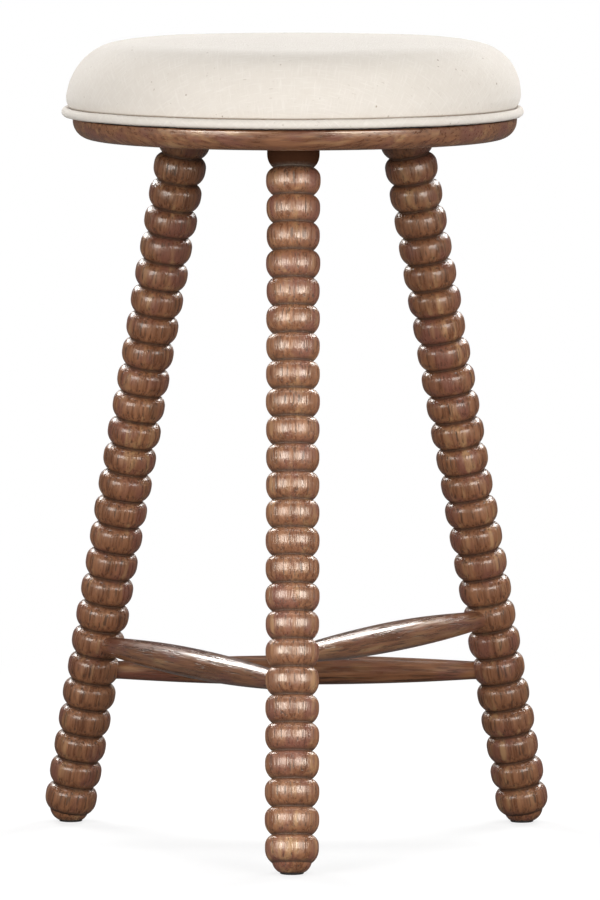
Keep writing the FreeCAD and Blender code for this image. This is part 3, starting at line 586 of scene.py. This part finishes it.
def dress(piece, material, slot, *nodes):
    """Give a piece its material and body, and let it stand for CAD nodes."""
    piece.data.materials.clear()
    piece.data.materials.append(material)
    if nodes:
        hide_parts(*nodes)
    if piece not in NODES.values():
        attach(piece, BODY)
    return piece


def closed_turning(name, radii, heights, columns, lift):
    """Closed surface of revolution: a point is (radius cos a, radius sin a, height), put in place by lift.

    radii and heights are arrays of rows by columns, and the first and last rows close to poles on the axis.
    """
    angles = turn_angles(columns)
    local = np.stack((radii * np.cos(angles), radii * np.sin(angles), heights), -1).reshape(-1, 3)
    rows = len(radii)
    poles = np.array([[0, 0, heights[0].mean()], [0, 0, heights[-1].mean()]])
    local = np.concatenate((local, poles))
    first = np.arange(columns)
    last = first + (rows - 1) * columns
    fans = (pole_fan(first, rows * columns, False), pole_fan(last, rows * columns + 1, True))
    piece = new_piece(name, lift(local), wrapped_quads(rows, columns), np.concatenate(fans))
    return piece, local


def about_z(points, degrees):
    """Points turned about Z."""
    c, s = math.cos(math.radians(degrees)), math.sin(math.radians(degrees))
    x, y, z = points.T
    return np.stack((x * c - y * s, x * s + y * c, z), -1)


def leg_profile(along):
    """Radius of a leg at a distance along its axis from the floor.

    A straight stub, a bowl that curves out to the foot's edge, then beads one pitch apart. Over each bead a
    crown arc runs to either side of the middle, and a corner arc, tangent to it, falls to the groove.
    """
    size = settings().frame
    foot_height = size.foot_stub + size.foot_round
    stub = size.foot_radius - size.foot_round
    back = math.sqrt(size.foot_bowl ** 2 / 2 - size.foot_round ** 2 / 4)
    rise = np.clip(size.foot_stub + size.foot_round / 2 + back - along, 0, size.foot_bowl)
    bowl = stub + size.foot_round / 2 - back + np.sqrt(size.foot_bowl ** 2 - rise ** 2)
    foot = np.where(along > size.foot_stub, bowl, stub)
    offset = (along - foot_height) % size.bead_pitch - size.bead_pitch / 2 - size.crown_shift
    slope = math.asin(size.crown_half / size.crown_radius)
    drop = size.crown_radius * (1 - math.cos(slope))
    fall = size.groove_depth - drop
    run = size.bead_pitch / 2 - size.crown_half - np.sign(offset) * size.crown_shift
    corner = (run ** 2 + fall ** 2) / (2 * (fall * math.cos(slope) - run * math.sin(slope)))
    arc = np.sqrt(np.maximum(size.crown_radius ** 2 - offset ** 2, 0))
    crown = size.bead_radius - size.crown_radius + arc
    middle = size.crown_half - corner * math.sin(slope)
    axis = size.bead_radius - drop - corner * math.cos(slope)
    side = axis + np.sqrt(np.maximum(corner ** 2 - (np.abs(offset) - middle) ** 2, 0))
    bead = np.where(np.abs(offset) <= size.crown_half, crown, side)
    return np.where(along < foot_height, foot, bead)


def foot_circle():
    """Radius of the leg axes at the floor."""
    size = settings().frame
    return size.leg_circle + UNDERSIDE * math.tan(size.splay)


def leg_lift(azimuth):
    """Map from a leg's own coordinates, Z up its axis: lean inwards, move out to the floor circle, turn."""
    size = settings().frame
    c, s = math.cos(size.splay), math.sin(size.splay)

    def lift(points):
        x, y, z = points.T
        return about_z(np.stack((foot_circle() + x * c - z * s, y, x * s + z * c), -1), azimuth)

    return lift


def cut_level(start, level, columns):
    """Distance along a leg, for each column, where its surface meets a level plane.

    It is settled by repeating along = (level - radius cos(angle) sin(splay)) / cos(splay) from a first guess.
    """
    size = settings().frame
    cosines = np.cos(turn_angles(columns))
    along = np.full(columns, start)
    rounds = 12
    for _ in range(rounds):
        along = (level - leg_profile(along) * cosines * math.sin(size.splay)) / math.cos(size.splay)
    return along


def make_leg(leg, azimuth, order):
    """Leg as rows of rings: a foot trimmed level on its glide, beads, and a top trimmed level under the base.

    Rows crowd towards the grooves, each bead swells by a random amount, and each leg has its own grain.
    """
    size = settings().frame
    columns, steps, foot_rows = 112, 22, 15
    foot_groove = 0.2
    rng = np.random.default_rng(SEED + order)
    foot_height = size.foot_stub + size.foot_round
    low = cut_level(GLIDE_TOP, GLIDE_TOP, columns)
    high = cut_level(UNDERSIDE / math.cos(size.splay), UNDERSIDE, columns)
    whole = int((high.min() - foot_height) / size.bead_pitch)
    last = foot_height + whole * size.bead_pitch
    crowded = (1 - np.cos(np.linspace(0, math.pi, steps + 1))) / 2
    spread = 0.55 * crowded + 0.45 * np.linspace(0, 1, steps + 1)
    beads = foot_height + size.bead_pitch * (np.arange(whole)[:, None] + spread[None, :-1]).ravel()
    foot = low + (foot_height - low) * np.linspace(0, 1, foot_rows)[:-1, None]
    top = last + (high - last) * np.linspace(0, 1, steps + 1)[:, None]
    along = np.concatenate((foot, np.repeat(beads[:, None], columns, 1), top))
    radii = leg_profile(along)
    bead_number = np.clip((along - foot_height) / size.bead_pitch, 0, whole).astype(int)
    swell = rng.normal(0, size.bead_wander, whole + 1)
    crest = np.clip((radii - size.bead_radius + size.groove_depth) / size.groove_depth, 0, 1)
    radii = radii + swell[bead_number] * crest
    piece, local = closed_turning(f"leg_{leg}_wood", radii, along, columns, leg_lift(azimuth))
    groove = np.concatenate((np.clip(1 - crest.ravel(), 0, 1), (1.0, 1.0)))
    carry(piece, "groove", np.where(local[:, 2] < foot_height, foot_groove, groove))
    carry(piece, "wood", about_z(local, 70.0 * order) + np.array((0.31, 0.17, 0.53)) * order)
    # Painted shade: the tone falls towards the top of each leg, where the seat's shadow would lie.
    under_seat = (high.mean() - local[:, 2]) / size.bead_pitch
    beads_down, tones_with_shade = FRONT_LEG_PAINTED_SHADE if leg == "front" else BACK_LEG_TONE_AND_SHADE
    carry(piece, "tone", np.interp(under_seat, beads_down, tones_with_shade))
    return piece


def stretcher_line(name):
    """Start, heading in degrees and span of a stretcher between two leg axes, just below a bead's middle."""
    size = settings().frame
    bead = {"back": size.back_bead, "left": size.left_bead, "right": size.right_bead}[name]
    along = size.foot_stub + size.foot_round + (bead - 0.5) * size.bead_pitch - size.stretcher_drop
    height = along * math.cos(size.splay)
    radius = foot_circle() - along * math.sin(size.splay)
    azimuth = LEG_AZIMUTHS[STRETCHER_STARTS[name]]
    start = about_z(np.array([[radius, 0, height]]), azimuth)[0]
    return start, azimuth + 90 + LEG_STEP / 2, 2 * radius * math.sin(math.radians(LEG_STEP / 2))


def make_stretcher(name, order):
    """Stretcher: straight ends, and between them a radius that swells along one shallow arc."""
    size = settings().frame
    columns, rows = 64, 181
    start, heading, span = stretcher_line(name)
    total = span - 2 * size.stretcher_stop
    straight = size.bead_radius - size.stretcher_stop + size.stretcher_reveal
    along = np.linspace(0, total, rows)
    half = total / 2 - straight
    reach = np.clip(np.abs(along - total / 2) / half, 0, 1)
    radius = size.stretcher_radius + size.stretcher_swell * (1 - reach ** 2)
    angles = turn_angles(columns)
    uneven = size.stretcher_wander * np.sin(3 * angles[None, :] + 9 * along[:, None] / total + order)
    radii = radius[:, None] + uneven * (1 - reach[:, None] ** 2)

    def lift(points):
        x, y, z = points.T
        laid = np.stack((z + size.stretcher_stop, y, -x), -1)
        return about_z(laid, heading) + start

    heights = np.repeat(along[:, None], columns, 1)
    piece, local = closed_turning(f"stretcher_{name}_wood", radii, heights, columns, lift)
    # Towards its ends, where it goes into the legs, a stretcher carries half a groove depth: stain and
    # painted shade at the joint.
    near_end = np.clip(1 - np.minimum(local[:, 2], total - local[:, 2]) / straight, 0, 1)
    carry(piece, "groove", near_end * 0.5)
    carry(piece, "wood", about_z(local, 40.0 + 95.0 * order) + np.array((0.23, 0.41, 0.19)) * (order + 4))
    carry(piece, "tone", np.full(len(local), STRETCHER_TONE))
    return piece


def cushion_profile(inset):
    """Half outline of the cushion from its middle underneath to its crown, set in by an inset above the seam.

    Flat underside, upright wall, a tuck arc out to the widest point, a shoulder arc, and a crown arc that is
    tangent to it.
    """
    size = settings().seat
    count = OUTLINE_POINTS
    shoulder_centre = CUSHION_RADIUS - size.shoulder
    side = CUSHION_TOP - size.shoulder - size.crown
    rise = size.shoulder + size.crown
    crown_radius = (shoulder_centre ** 2 + rise ** 2 - size.shoulder ** 2) / (2 * size.crown)
    lean = math.asin(shoulder_centre / (crown_radius - size.shoulder))
    wall = CUSHION_RADIUS - size.overhang
    tuck_centre = CUSHION_RADIUS - size.tuck
    tuck_turn = math.acos((wall - tuck_centre) / size.tuck)
    turn = np.linspace(-tuck_turn, 0, count)
    bend = size.tuck - inset * np.linspace(0, 1, count)
    tuck = np.stack((tuck_centre + bend * np.cos(turn), side + bend * np.sin(turn)), -1)
    turn = np.linspace(0, math.pi / 2 - lean, 2 * count)[1:]
    bend = size.shoulder - inset
    shoulder = np.stack((shoulder_centre + bend * np.cos(turn), side + bend * np.sin(turn)), -1)
    turn = np.linspace(lean, 0, 2 * count)[1:-1]
    bend = crown_radius - inset
    crown = np.stack((bend * np.sin(turn), CUSHION_TOP - crown_radius + bend * np.cos(turn)), -1)
    floor = np.stack((np.linspace(POLE_RING, wall, count), np.full(count, CUSHION_LOW)), -1)
    upright = np.stack((np.full(4, wall), np.linspace(CUSHION_LOW, tuck[0, 1], 6)[1:-1]), -1)
    return np.concatenate((floor, upright, tuck, shoulder, crown))


def positions(mesh):
    """Points of a mesh as an array."""
    flat = np.empty(len(mesh.vertices) * 3, np.float32)
    mesh.vertices.foreach_get("co", flat)
    return flat.reshape(-1, 3).astype(float)


def evened(mesh, moved, free, rounds):
    """Movement evened out as by wadding: each round averages a free point with the mean of its neighbours."""
    ends = np.empty(len(mesh.edges) * 2, np.int32)
    mesh.edges.foreach_get("vertices", ends)
    one, other = ends.reshape(-1, 2).T
    count = len(moved)
    neighbours = np.bincount(ends, minlength=count)[:, None]

    def around(values):
        return np.bincount(one, values[other], count) + np.bincount(other, values[one], count)

    for _ in range(rounds):
        sums = np.stack([around(axis) for axis in moved.T], -1)
        moved = (moved + sums / neighbours) / 2 * free[:, None]
    return moved


def swell(piece, held, cap):
    """Points of the cover blown out by cloth simulation, the held ones fixed.

    The movement is capped, evened out, and then fitted to the cushion's full outline.
    """
    size = settings().seat
    group = piece.vertex_groups.new(name="held")
    group.add(np.flatnonzero(held).tolist(), 1.0, "REPLACE")
    cloth = piece.modifiers.new("Swell", "CLOTH")
    cloth.settings.quality = 6
    cloth.settings.mass = 0.25
    cloth.settings.tension_stiffness = 20
    cloth.settings.compression_stiffness = 20
    cloth.settings.bending_stiffness = 6
    cloth.settings.shrink_min = -0.025
    cloth.settings.use_pressure = True
    cloth.settings.uniform_pressure_force = size.pressure
    cloth.settings.effector_weights.gravity = 0
    cloth.settings.vertex_group_mass = group.name
    cloth.point_cache.frame_start = 1
    cloth.point_cache.frame_end = SWELL_FRAMES
    before = positions(piece.data)
    for number in range(1, SWELL_FRAMES + 1):
        bpy.context.scene.frame_set(number)
    shown = piece.evaluated_get(bpy.context.evaluated_depsgraph_get())
    moved = positions(shown.data) - before
    piece.modifiers.remove(cloth)
    bpy.context.scene.frame_set(1)
    far = np.maximum(np.linalg.norm(moved, axis=1, keepdims=True), 1e-9)
    moved = evened(piece.data, moved * np.minimum(1, cap / far), ~held, size.evening)
    return before + filled_out(before, moved, ~held)


def ring_mean(over, values, chosen):
    """Mean of the chosen values by distance over the seat, in rings one cell wide joined by straight runs."""
    cell = settings().seat.voxel
    ring = (over / cell).astype(int)
    rings = ring.max() + 1
    count = np.bincount(ring[chosen], minlength=rings)
    sums = np.bincount(ring[chosen], values[chosen], rings)
    filled = count > 0
    middles = (np.arange(rings) + 0.5) * cell
    return np.interp(over, middles[filled], sums[filled] / count[filled])


def filled_out(points, moved, free):
    """Movement that fills the cover out to its full outline, with a share of the simulated unevenness.

    The mesh's square cells give more along their diagonals. So the unevenness is what is left of the movement
    without the mean of the points that lie towards X or Y at the same distance over the surface.
    """
    over = np.linalg.norm(cloth_place(points), axis=1)
    radius = np.maximum(np.hypot(points[:, 0], points[:, 1]), 1e-6)
    outward = points * np.array((1, 1, 0)) / radius[:, None]
    towards_axis = free & (np.cos(4 * np.arctan2(points[:, 1], points[:, 0])) > 0.5)
    mean = outward * ring_mean(over, (moved * outward).sum(1), towards_axis)[:, None]
    mean[:, 2] = ring_mean(over, moved[:, 2], towards_axis)
    start, full = (cushion_profile(inset) for inset in (settings().seat.slack, 0.0))
    above = np.flatnonzero(start[:, 1] > WELT_HIGH)
    walk = np.linalg.norm(cloth_place(np.insert(start, 1, 0, axis=1)), axis=1)
    order = above[np.argsort(walk[above])]
    growth = [np.interp(over, walk[order], (full - start)[order, axis]) for axis in (0, 1)]
    target = outward * growth[0][:, None]
    target[:, 2] = growth[1]
    return np.where(free[:, None], target + (moved - mean) * UNEVEN_SHARE, moved)


def cloth_place(points):
    """Where each point lies on the flat cloth: in its direction from the axis, at its distance over the seat.

    On top that distance is the radius. Past the shoulder's start the arc and the drop of the side are added.
    """
    size = settings().seat
    radius = np.hypot(points[:, 0], points[:, 1])
    centre = CUSHION_RADIUS - size.shoulder
    side = CUSHION_TOP - size.shoulder - size.crown
    turn = np.arctan2(np.maximum(radius - centre, 0), np.maximum(points[:, 2] - side, 1e-6))
    over = np.where(radius < centre, radius, centre + size.shoulder * turn)
    over = over + np.maximum(side - points[:, 2], 0)
    return points * (over / np.maximum(radius, 1e-6))[:, None] * np.array((1, 1, 0))


def pad_shift(height):
    """How far the pad sits to the right at a height, between its places at the welt and at the crown."""
    size = settings().seat
    share = np.clip((height - WELT_HIGH) / (CUSHION_TOP - WELT_HIGH), 0, 1)
    return size.pad_at_welt * (1 - share) + size.pad_at_crown * share


def remeshed(start, name):
    """New piece of even cells in the shape of a start piece, which is taken away."""
    remesh = start.modifiers.new("Even", "REMESH")
    remesh.mode = "VOXEL"
    remesh.voxel_size = settings().seat.voxel
    remesh.use_smooth_shade = True
    shown = start.evaluated_get(bpy.context.evaluated_depsgraph_get())
    mesh = bpy.data.meshes.new_from_object(shown)
    bpy.data.objects.remove(start)
    mesh.name = name
    piece = bpy.data.objects.new(name, mesh)
    bpy.context.scene.collection.objects.link(piece)
    return piece


def make_cushion():
    """Padded cushion: a turned start shape, remeshed, swollen by simulation, then gathered along the seam.
    """
    size = settings().seat
    profile = cushion_profile(size.slack)
    columns = 160
    radii, heights = (np.repeat(profile[:, axis:axis + 1], columns, 1) for axis in (0, 1))
    start, _ = closed_turning("cushion_start", radii, heights, columns, lambda points: points)
    piece = remeshed(start, "seat_cushion")
    points = positions(piece.data)
    seam = WELT_HIGH + SEAM_RISE

    def above_seam(rise):
        """0 at the seam and below it, 1 from a rise above it."""
        return np.clip((points[:, 2] - seam) / rise, 0, 1)

    points = swell(piece, points[:, 2] < seam, size.slack)
    angle = np.arctan2(points[:, 1], points[:, 0])
    near_seam = above_seam(0.001) * np.exp(-np.maximum(points[:, 2] - seam, 0) / 0.007)
    pleat = np.sin(61 * angle + 2.1 * np.sin(7 * angle))
    pleat = pleat + 0.6 * np.sin(113 * angle + 1.3 * np.sin(11 * angle + 1))
    soft = 0.0004 * np.sin(3 * angle + 0.7) + 0.00025 * np.sin(8 * angle + 70 * points[:, 2])
    outward = np.stack((np.cos(angle), np.sin(angle), np.zeros_like(angle)), -1)
    points = points + outward * (size.gather * pleat * near_seam + soft * above_seam(0.02))[:, None]
    carry(piece, "cloth", cloth_place(points))
    points[:, 0] += pad_shift(points[:, 2])
    piece.data.vertices.foreach_set("co", points.astype(np.float32).ravel())
    piece.data.update()
    smooth = piece.modifiers.new("Smooth", "SUBSURF")
    smooth.levels = 1
    smooth.render_levels = 1
    return piece


def make_welt():
    """Welt: a round section with a thin lip, carried round the seat, with some wander and slanting puckers.

    Its cloth lies on the bias: half a right angle to the run of the welt.
    """
    size = settings().seat
    columns, tube_points = 720, 40
    ring = WELT_OUTSIDE - size.welt_radius
    middle = WELT_LOW + size.welt_radius
    left_open = 0.68
    turn = np.linspace(-math.pi / 2, math.pi * 1.5 - left_open, tube_points)
    inner = ring - math.sqrt(size.welt_radius ** 2 - (size.welt_radius - size.cloth) ** 2)
    board_edge = ring - 0.005
    lip = board_edge - size.welt_lip
    loop = np.concatenate((
        np.stack((ring + size.welt_radius * np.cos(turn), middle + size.welt_radius * np.sin(turn)), -1),
        [[inner, WELT_LOW + size.cloth], [lip, WELT_LOW + size.cloth], [lip, WELT_LOW]],
    ))
    angle = turn_angles(columns)
    on_tube = np.arange(len(loop)) < tube_points
    slant = np.concatenate((turn, np.zeros(3)))[:, None] * 1.6
    pucker = np.sin(170 * angle[None, :] + slant + 2 * np.sin(13 * angle[None, :]))
    pucker = size.pucker * (pucker * (0.5 + 0.5 * np.sin(29 * angle)))
    wander = 0.00022 * np.sin(5 * angle + 1) + 0.00013 * np.sin(17 * angle)
    outward = np.stack((loop[:, 0] - ring, loop[:, 1] - middle), -1)
    outward = outward / np.maximum(np.linalg.norm(outward, axis=1, keepdims=True), 1e-9) * on_tube[:, None]
    radius = loop[:, :1] + outward[:, :1] * pucker
    height = loop[:, 1:] + outward[:, 1:] * pucker + np.where(on_tube[:, None], np.maximum(wander, 0), 0)
    across = radius * np.cos(angle) + pad_shift(WELT_HIGH)
    points = np.stack((across, radius * np.sin(angle), height), -1).reshape(-1, 3)
    quads = wrapped_quads(len(loop), columns)
    seam = np.arange(columns)
    after = (seam + 1) % columns
    last = (len(loop) - 1) * columns
    closing = np.stack((last + seam, last + after, after, seam), -1)
    piece = new_piece("welt", points, np.concatenate((quads, closing)))
    on_lip = turn[-1] * size.welt_radius + np.array((0.001, 0.02, 0.021))
    walk = np.concatenate((turn * size.welt_radius, on_lip))
    run = np.repeat((angle * ring)[None, :], len(loop), 0)
    over = np.repeat(walk[:, None], columns, 1)
    bias = np.stack(((run + over) * math.sqrt(0.5), (run - over) * math.sqrt(0.5), np.zeros_like(run)), -1)
    carry(piece, "cloth", bias.reshape(-1, 3))
    return piece


def make_dust_cloth():
    """Dust cover: a flat disc of rings, closed over a thin rim, lying on the deck under the board."""
    columns = 144
    profile = np.array([
        (POLE_RING, DUST_LOW), (DUST_RADIUS * 0.5, DUST_LOW), (DUST_RADIUS, DUST_LOW),
        (DUST_RADIUS, DUST_HIGH), (DUST_RADIUS * 0.5, DUST_HIGH), (POLE_RING, DUST_HIGH),
    ])
    radii, heights = (np.repeat(profile[:, axis:axis + 1], columns, 1) for axis in (0, 1))
    return closed_turning("dust_cloth", radii, heights, columns, lambda points: points)[0]


class STOOL_OT_legs(Operator):
    """Turn the three bobbin legs and stain them."""

    bl_idname = "stool.legs"
    bl_label = "Turned legs"

    def execute(self, context):
        front_stain = wood_finish("stained_front_leg_wood", True, coat=0.2, sheen=1.0)
        back_stain = wood_finish("stained_back_leg_wood", True, coat=0.4, sheen=0.4)
        for order, (leg, azimuth) in enumerate(LEG_AZIMUTHS.items()):
            stain = front_stain if leg == "front" else back_stain
            dress(make_leg(leg, azimuth, order), stain, "frame_wood", f"leg_{leg}")
        return {"FINISHED"}


class STOOL_OT_stretchers(Operator):
    """Turn the three stretchers and stain them."""

    bl_idname = "stool.stretchers"
    bl_label = "Stretchers"

    def execute(self, context):
        side_stain = wood_finish("stained_stretcher_wood", True, coat=0.7, sheen=0.6)
        back_stain = wood_finish("stained_back_stretcher_wood", True, coat=0.3, sheen=0.3)
        for order, name in enumerate(STRETCHER_STARTS):
            stain = back_stain if name == "back" else side_stain
            dress(make_stretcher(name, order), stain, "frame_wood", f"stretcher_{name}")
        return {"FINISHED"}


class STOOL_OT_seat_base(Operator):
    """Finish the seat base, the wedges, the board and the small hardware, which keep their own solids."""

    bl_idname = "stool.seat_base"
    bl_label = "Seat base and hardware"

    def execute(self, context):
        across = {"turn": (0, math.pi / 2, 0), "shift": (0.1, 0.07, 0.2)}
        finishes = {
            "frame_wood": wood_finish("stained_base_wood", False, coat=0.2, sheen=1.0, **across),
            "plywood": plywood_finish("raw_plywood"),
            "glide_plastic": moulded_finish("dark_glide"),
            "steel_fasteners": steel_finish("zinc_steel"),
        }
        for part in frame["record"]["subparts"]:
            piece = NODES[part["node"]]
            if part["material_slot"] in finishes and not piece.hide_render:
                dress(piece, finishes[part["material_slot"]], part["material_slot"])
        return {"FINISHED"}


class STOOL_OT_cushion(Operator):
    """Make the padded cushion with its cover."""

    bl_idname = "stool.cushion"
    bl_label = "Cushion"

    def execute(self, context):
        piece = make_cushion()
        cotton = cloth_finish("natural_cotton", WELT_HIGH)
        dress(piece, cotton, "cover_cloth", "seat_cover", "batting_wrap", "foam_pad")
        return {"FINISHED"}


class STOOL_OT_welt(Operator):
    """Make the welt round the lower edge of the cushion."""

    bl_idname = "stool.welt"
    bl_label = "Welt"

    def execute(self, context):
        # On the welt the painted seam shadow lies along its lowest edge, where it meets the base.
        dress(make_welt(), cloth_finish("bias_cotton", WELT_LOW), "cover_cloth", "welt_sleeve", "welt_cord")
        return {"FINISHED"}


class STOOL_OT_dust_cloth(Operator):
    """Lay the black dust cloth under the seat board."""

    bl_idname = "stool.dust_cloth"
    bl_label = "Dust cloth"

    def execute(self, context):
        piece = dress(make_dust_cloth(), dust_finish("black_dust_cloth"), "dust_cloth", "dust_cover")
        return {"FINISHED"}


def softbox(name, azimuth, elevation, size, power, distance=LAMP_DISTANCE, glossy=True):
    """Area lamp aimed at the middle of the stool, seen in the lacquer or not."""
    lamp = bpy.data.lights.new(name, "AREA")
    lamp.shape = "RECTANGLE"
    lamp.size, lamp.size_y = size
    lamp.energy = power
    holder = bpy.data.objects.new(name, lamp)
    bpy.context.scene.collection.objects.link(holder)
    a, e = math.radians(azimuth), math.radians(elevation)
    holder.location = (
        distance * math.sin(a) * math.cos(e),
        -distance * math.cos(a) * math.cos(e),
        LAMP_AIM + distance * math.sin(e),
    )
    holder.rotation_euler = (math.pi / 2 - e, 0, a)
    holder.visible_glossy = glossy


def studio_world():
    """Pale sky that dims towards the horizon, and plain white for rays that see the surroundings."""
    stage = settings().stage
    world = bpy.data.worlds.new("studio")
    bpy.context.scene.world = world
    world.use_nodes = True
    graph = Graph(world.node_tree)
    direction = Wire(graph, graph.node("ShaderNodeTexCoord").outputs["Generated"])
    _, _, up = graph.split(direction)
    strength = up.step(0.05, 0.6) * (stage.sky - stage.horizon) + stage.horizon
    lit = graph.node("ShaderNodeBackground", {}, {"Color": WHITE, "Strength": strength})
    plain = graph.node("ShaderNodeBackground", {}, {"Color": WHITE, "Strength": 1.0})
    _, _, seen = graph.rays()
    graph.blend(seen, lit, plain)


def floor_material():
    """Pale floor: white to the camera, a dim glow in the lacquer, and darker to the stool.

    Near the stool the lamps make part of its white, so a soft shadow shows. Further off it glows by itself.
    """
    finish = Finish("studio_floor", roughness=0.95, specular_ior_level=0.0)
    camera, glossy, seen = finish.rays()
    spot = finish.place()
    across, deep, _ = finish.split(spot)
    far = (across ** 2 + deep ** 2).sqrt().step(0.35, 1.3)
    tone = finish.noise(spot, (0.6, 0.6, 0.6), 2)
    pale = rgb(settings().finishes.floor)
    unseen = finish.mix(glossy, finish.mix(tone * 0.05, pale, (0.15, 0.15, 0.15)), (0.02, 0.02, 0.02))
    finish.feed(base_color=finish.mix(camera, unseen, (0.97, 0.97, 0.97)))
    glow = finish.node("ShaderNodeEmission", {}, {"Strength": 1.0})
    finish.blend(seen * (0.72 + far * 0.28), finish.shader, glow)
    return finish.material


def studio_floor():
    """Level floor as an even grid of quads."""
    reach = np.linspace(-1, 1, FLOOR_POINTS)
    across, deep = np.meshgrid(reach * FLOOR_HALF[0], reach * FLOOR_HALF[1], indexing="ij")
    points = np.stack((across, deep, np.zeros_like(across)), -1).reshape(-1, 3)
    cells = np.arange(FLOOR_POINTS - 1)
    row, column = np.meshgrid(cells, cells, indexing="ij")
    corner = (row * FLOOR_POINTS + column).ravel()
    beyond = corner + FLOOR_POINTS
    floor = new_piece("studio_floor", points, np.stack((corner, beyond, beyond + 1, corner + 1), -1))
    floor.data.materials.append(floor_material())


def studio_lamps():
    """Softboxes in front, rims behind, small lamps above, and fills that the lacquer doesn't show."""
    stage = settings().stage
    key_size = (stage.key_width, stage.key_height)
    for name, azimuth in (("softbox_left", -40), ("softbox_right", 36)):
        softbox(name, azimuth, 8, key_size, stage.key_power)
    for name, azimuth in (("rim_left", -146), ("rim_right", 146)):
        softbox(name, azimuth, 30, (1.0, 0.4), stage.rim_power)
    for name, azimuth in (("upper_left", -46), ("upper_right", 48)):
        softbox(name, azimuth, 65, (0.45, 0.45), stage.top_power)
    softbox("fill_low", 0, -10, (1.6, 0.3), stage.low_power, distance=1.6, glossy=False)
    softbox("hair", 180, 76, (2.0, 0.5), stage.hair_power)
    for name, azimuth, share in (("fill_left", -85, 0.85), ("fill_right", 85, 1.8)):
        softbox(name, azimuth, 10, (1.4, 1.4), stage.side_power * share, distance=2.4, glossy=False)


def photo_camera():
    """Camera where the photograph was taken from."""
    stage = settings().stage
    camera = bpy.data.cameras.new("photo_camera")
    camera.lens = stage.lens
    camera.sensor_width = 36
    camera.clip_end = 100
    holder = bpy.data.objects.new("photo_camera", camera)
    bpy.context.scene.collection.objects.link(holder)
    across, deep = math.sin(stage.turn), -math.cos(stage.turn)
    holder.location = (stage.distance * across, stage.distance * deep, stage.height)
    holder.rotation_euler = (math.pi / 2 - stage.pitch, 0, stage.aim)
    bpy.context.scene.camera = holder


class STOOL_OT_stage(Operator):
    """Set the floor, the soft studio light and the camera."""

    bl_idname = "stool.stage"
    bl_label = "Studio"

    def execute(self, context):
        studio_floor()
        studio_world()
        studio_lamps()
        photo_camera()
        bpy.context.scene.view_settings.view_transform = "Standard"
        return {"FINISHED"}


STEPS = (
    STOOL_OT_legs, STOOL_OT_stretchers, STOOL_OT_cushion, STOOL_OT_welt, STOOL_OT_dust_cloth,
    STOOL_OT_seat_base, STOOL_OT_stage,
)


class STOOL_PT_panel(Panel):
    """Steps that dress the stool, in order."""

    bl_idname = "STOOL_PT_panel"
    bl_label = "Counter stool"
    bl_space_type = "VIEW_3D"
    bl_region_type = "UI"
    bl_category = "Stool"

    def draw(self, context):
        for step in STEPS:
            self.layout.operator(step.bl_idname)
        for group in (settings().frame, settings().seat, settings().finishes, settings().stage):
            box = self.layout.box()
            for name in group.__annotations__:
                box.prop(group, name)


CLASSES = (FrameSizes, SeatSizes, Finishes, StageSettings, StoolSettings, *STEPS, STOOL_PT_panel)


def register():
    """Add the classes and the scene's settings."""
    for item in CLASSES:
        bpy.utils.register_class(item)
    bpy.types.Scene.stool = PointerProperty(type=StoolSettings)


def unregister():
    """Take them away again."""
    del bpy.types.Scene.stool
    for item in reversed(CLASSES):
        bpy.utils.unregister_class(item)


def main():
    """Run every step."""
    register()
    for step in STEPS:
        group, name = step.bl_idname.split(".")
        getattr(getattr(bpy.ops, group), name)()


if __name__ == "__main__":
    main()
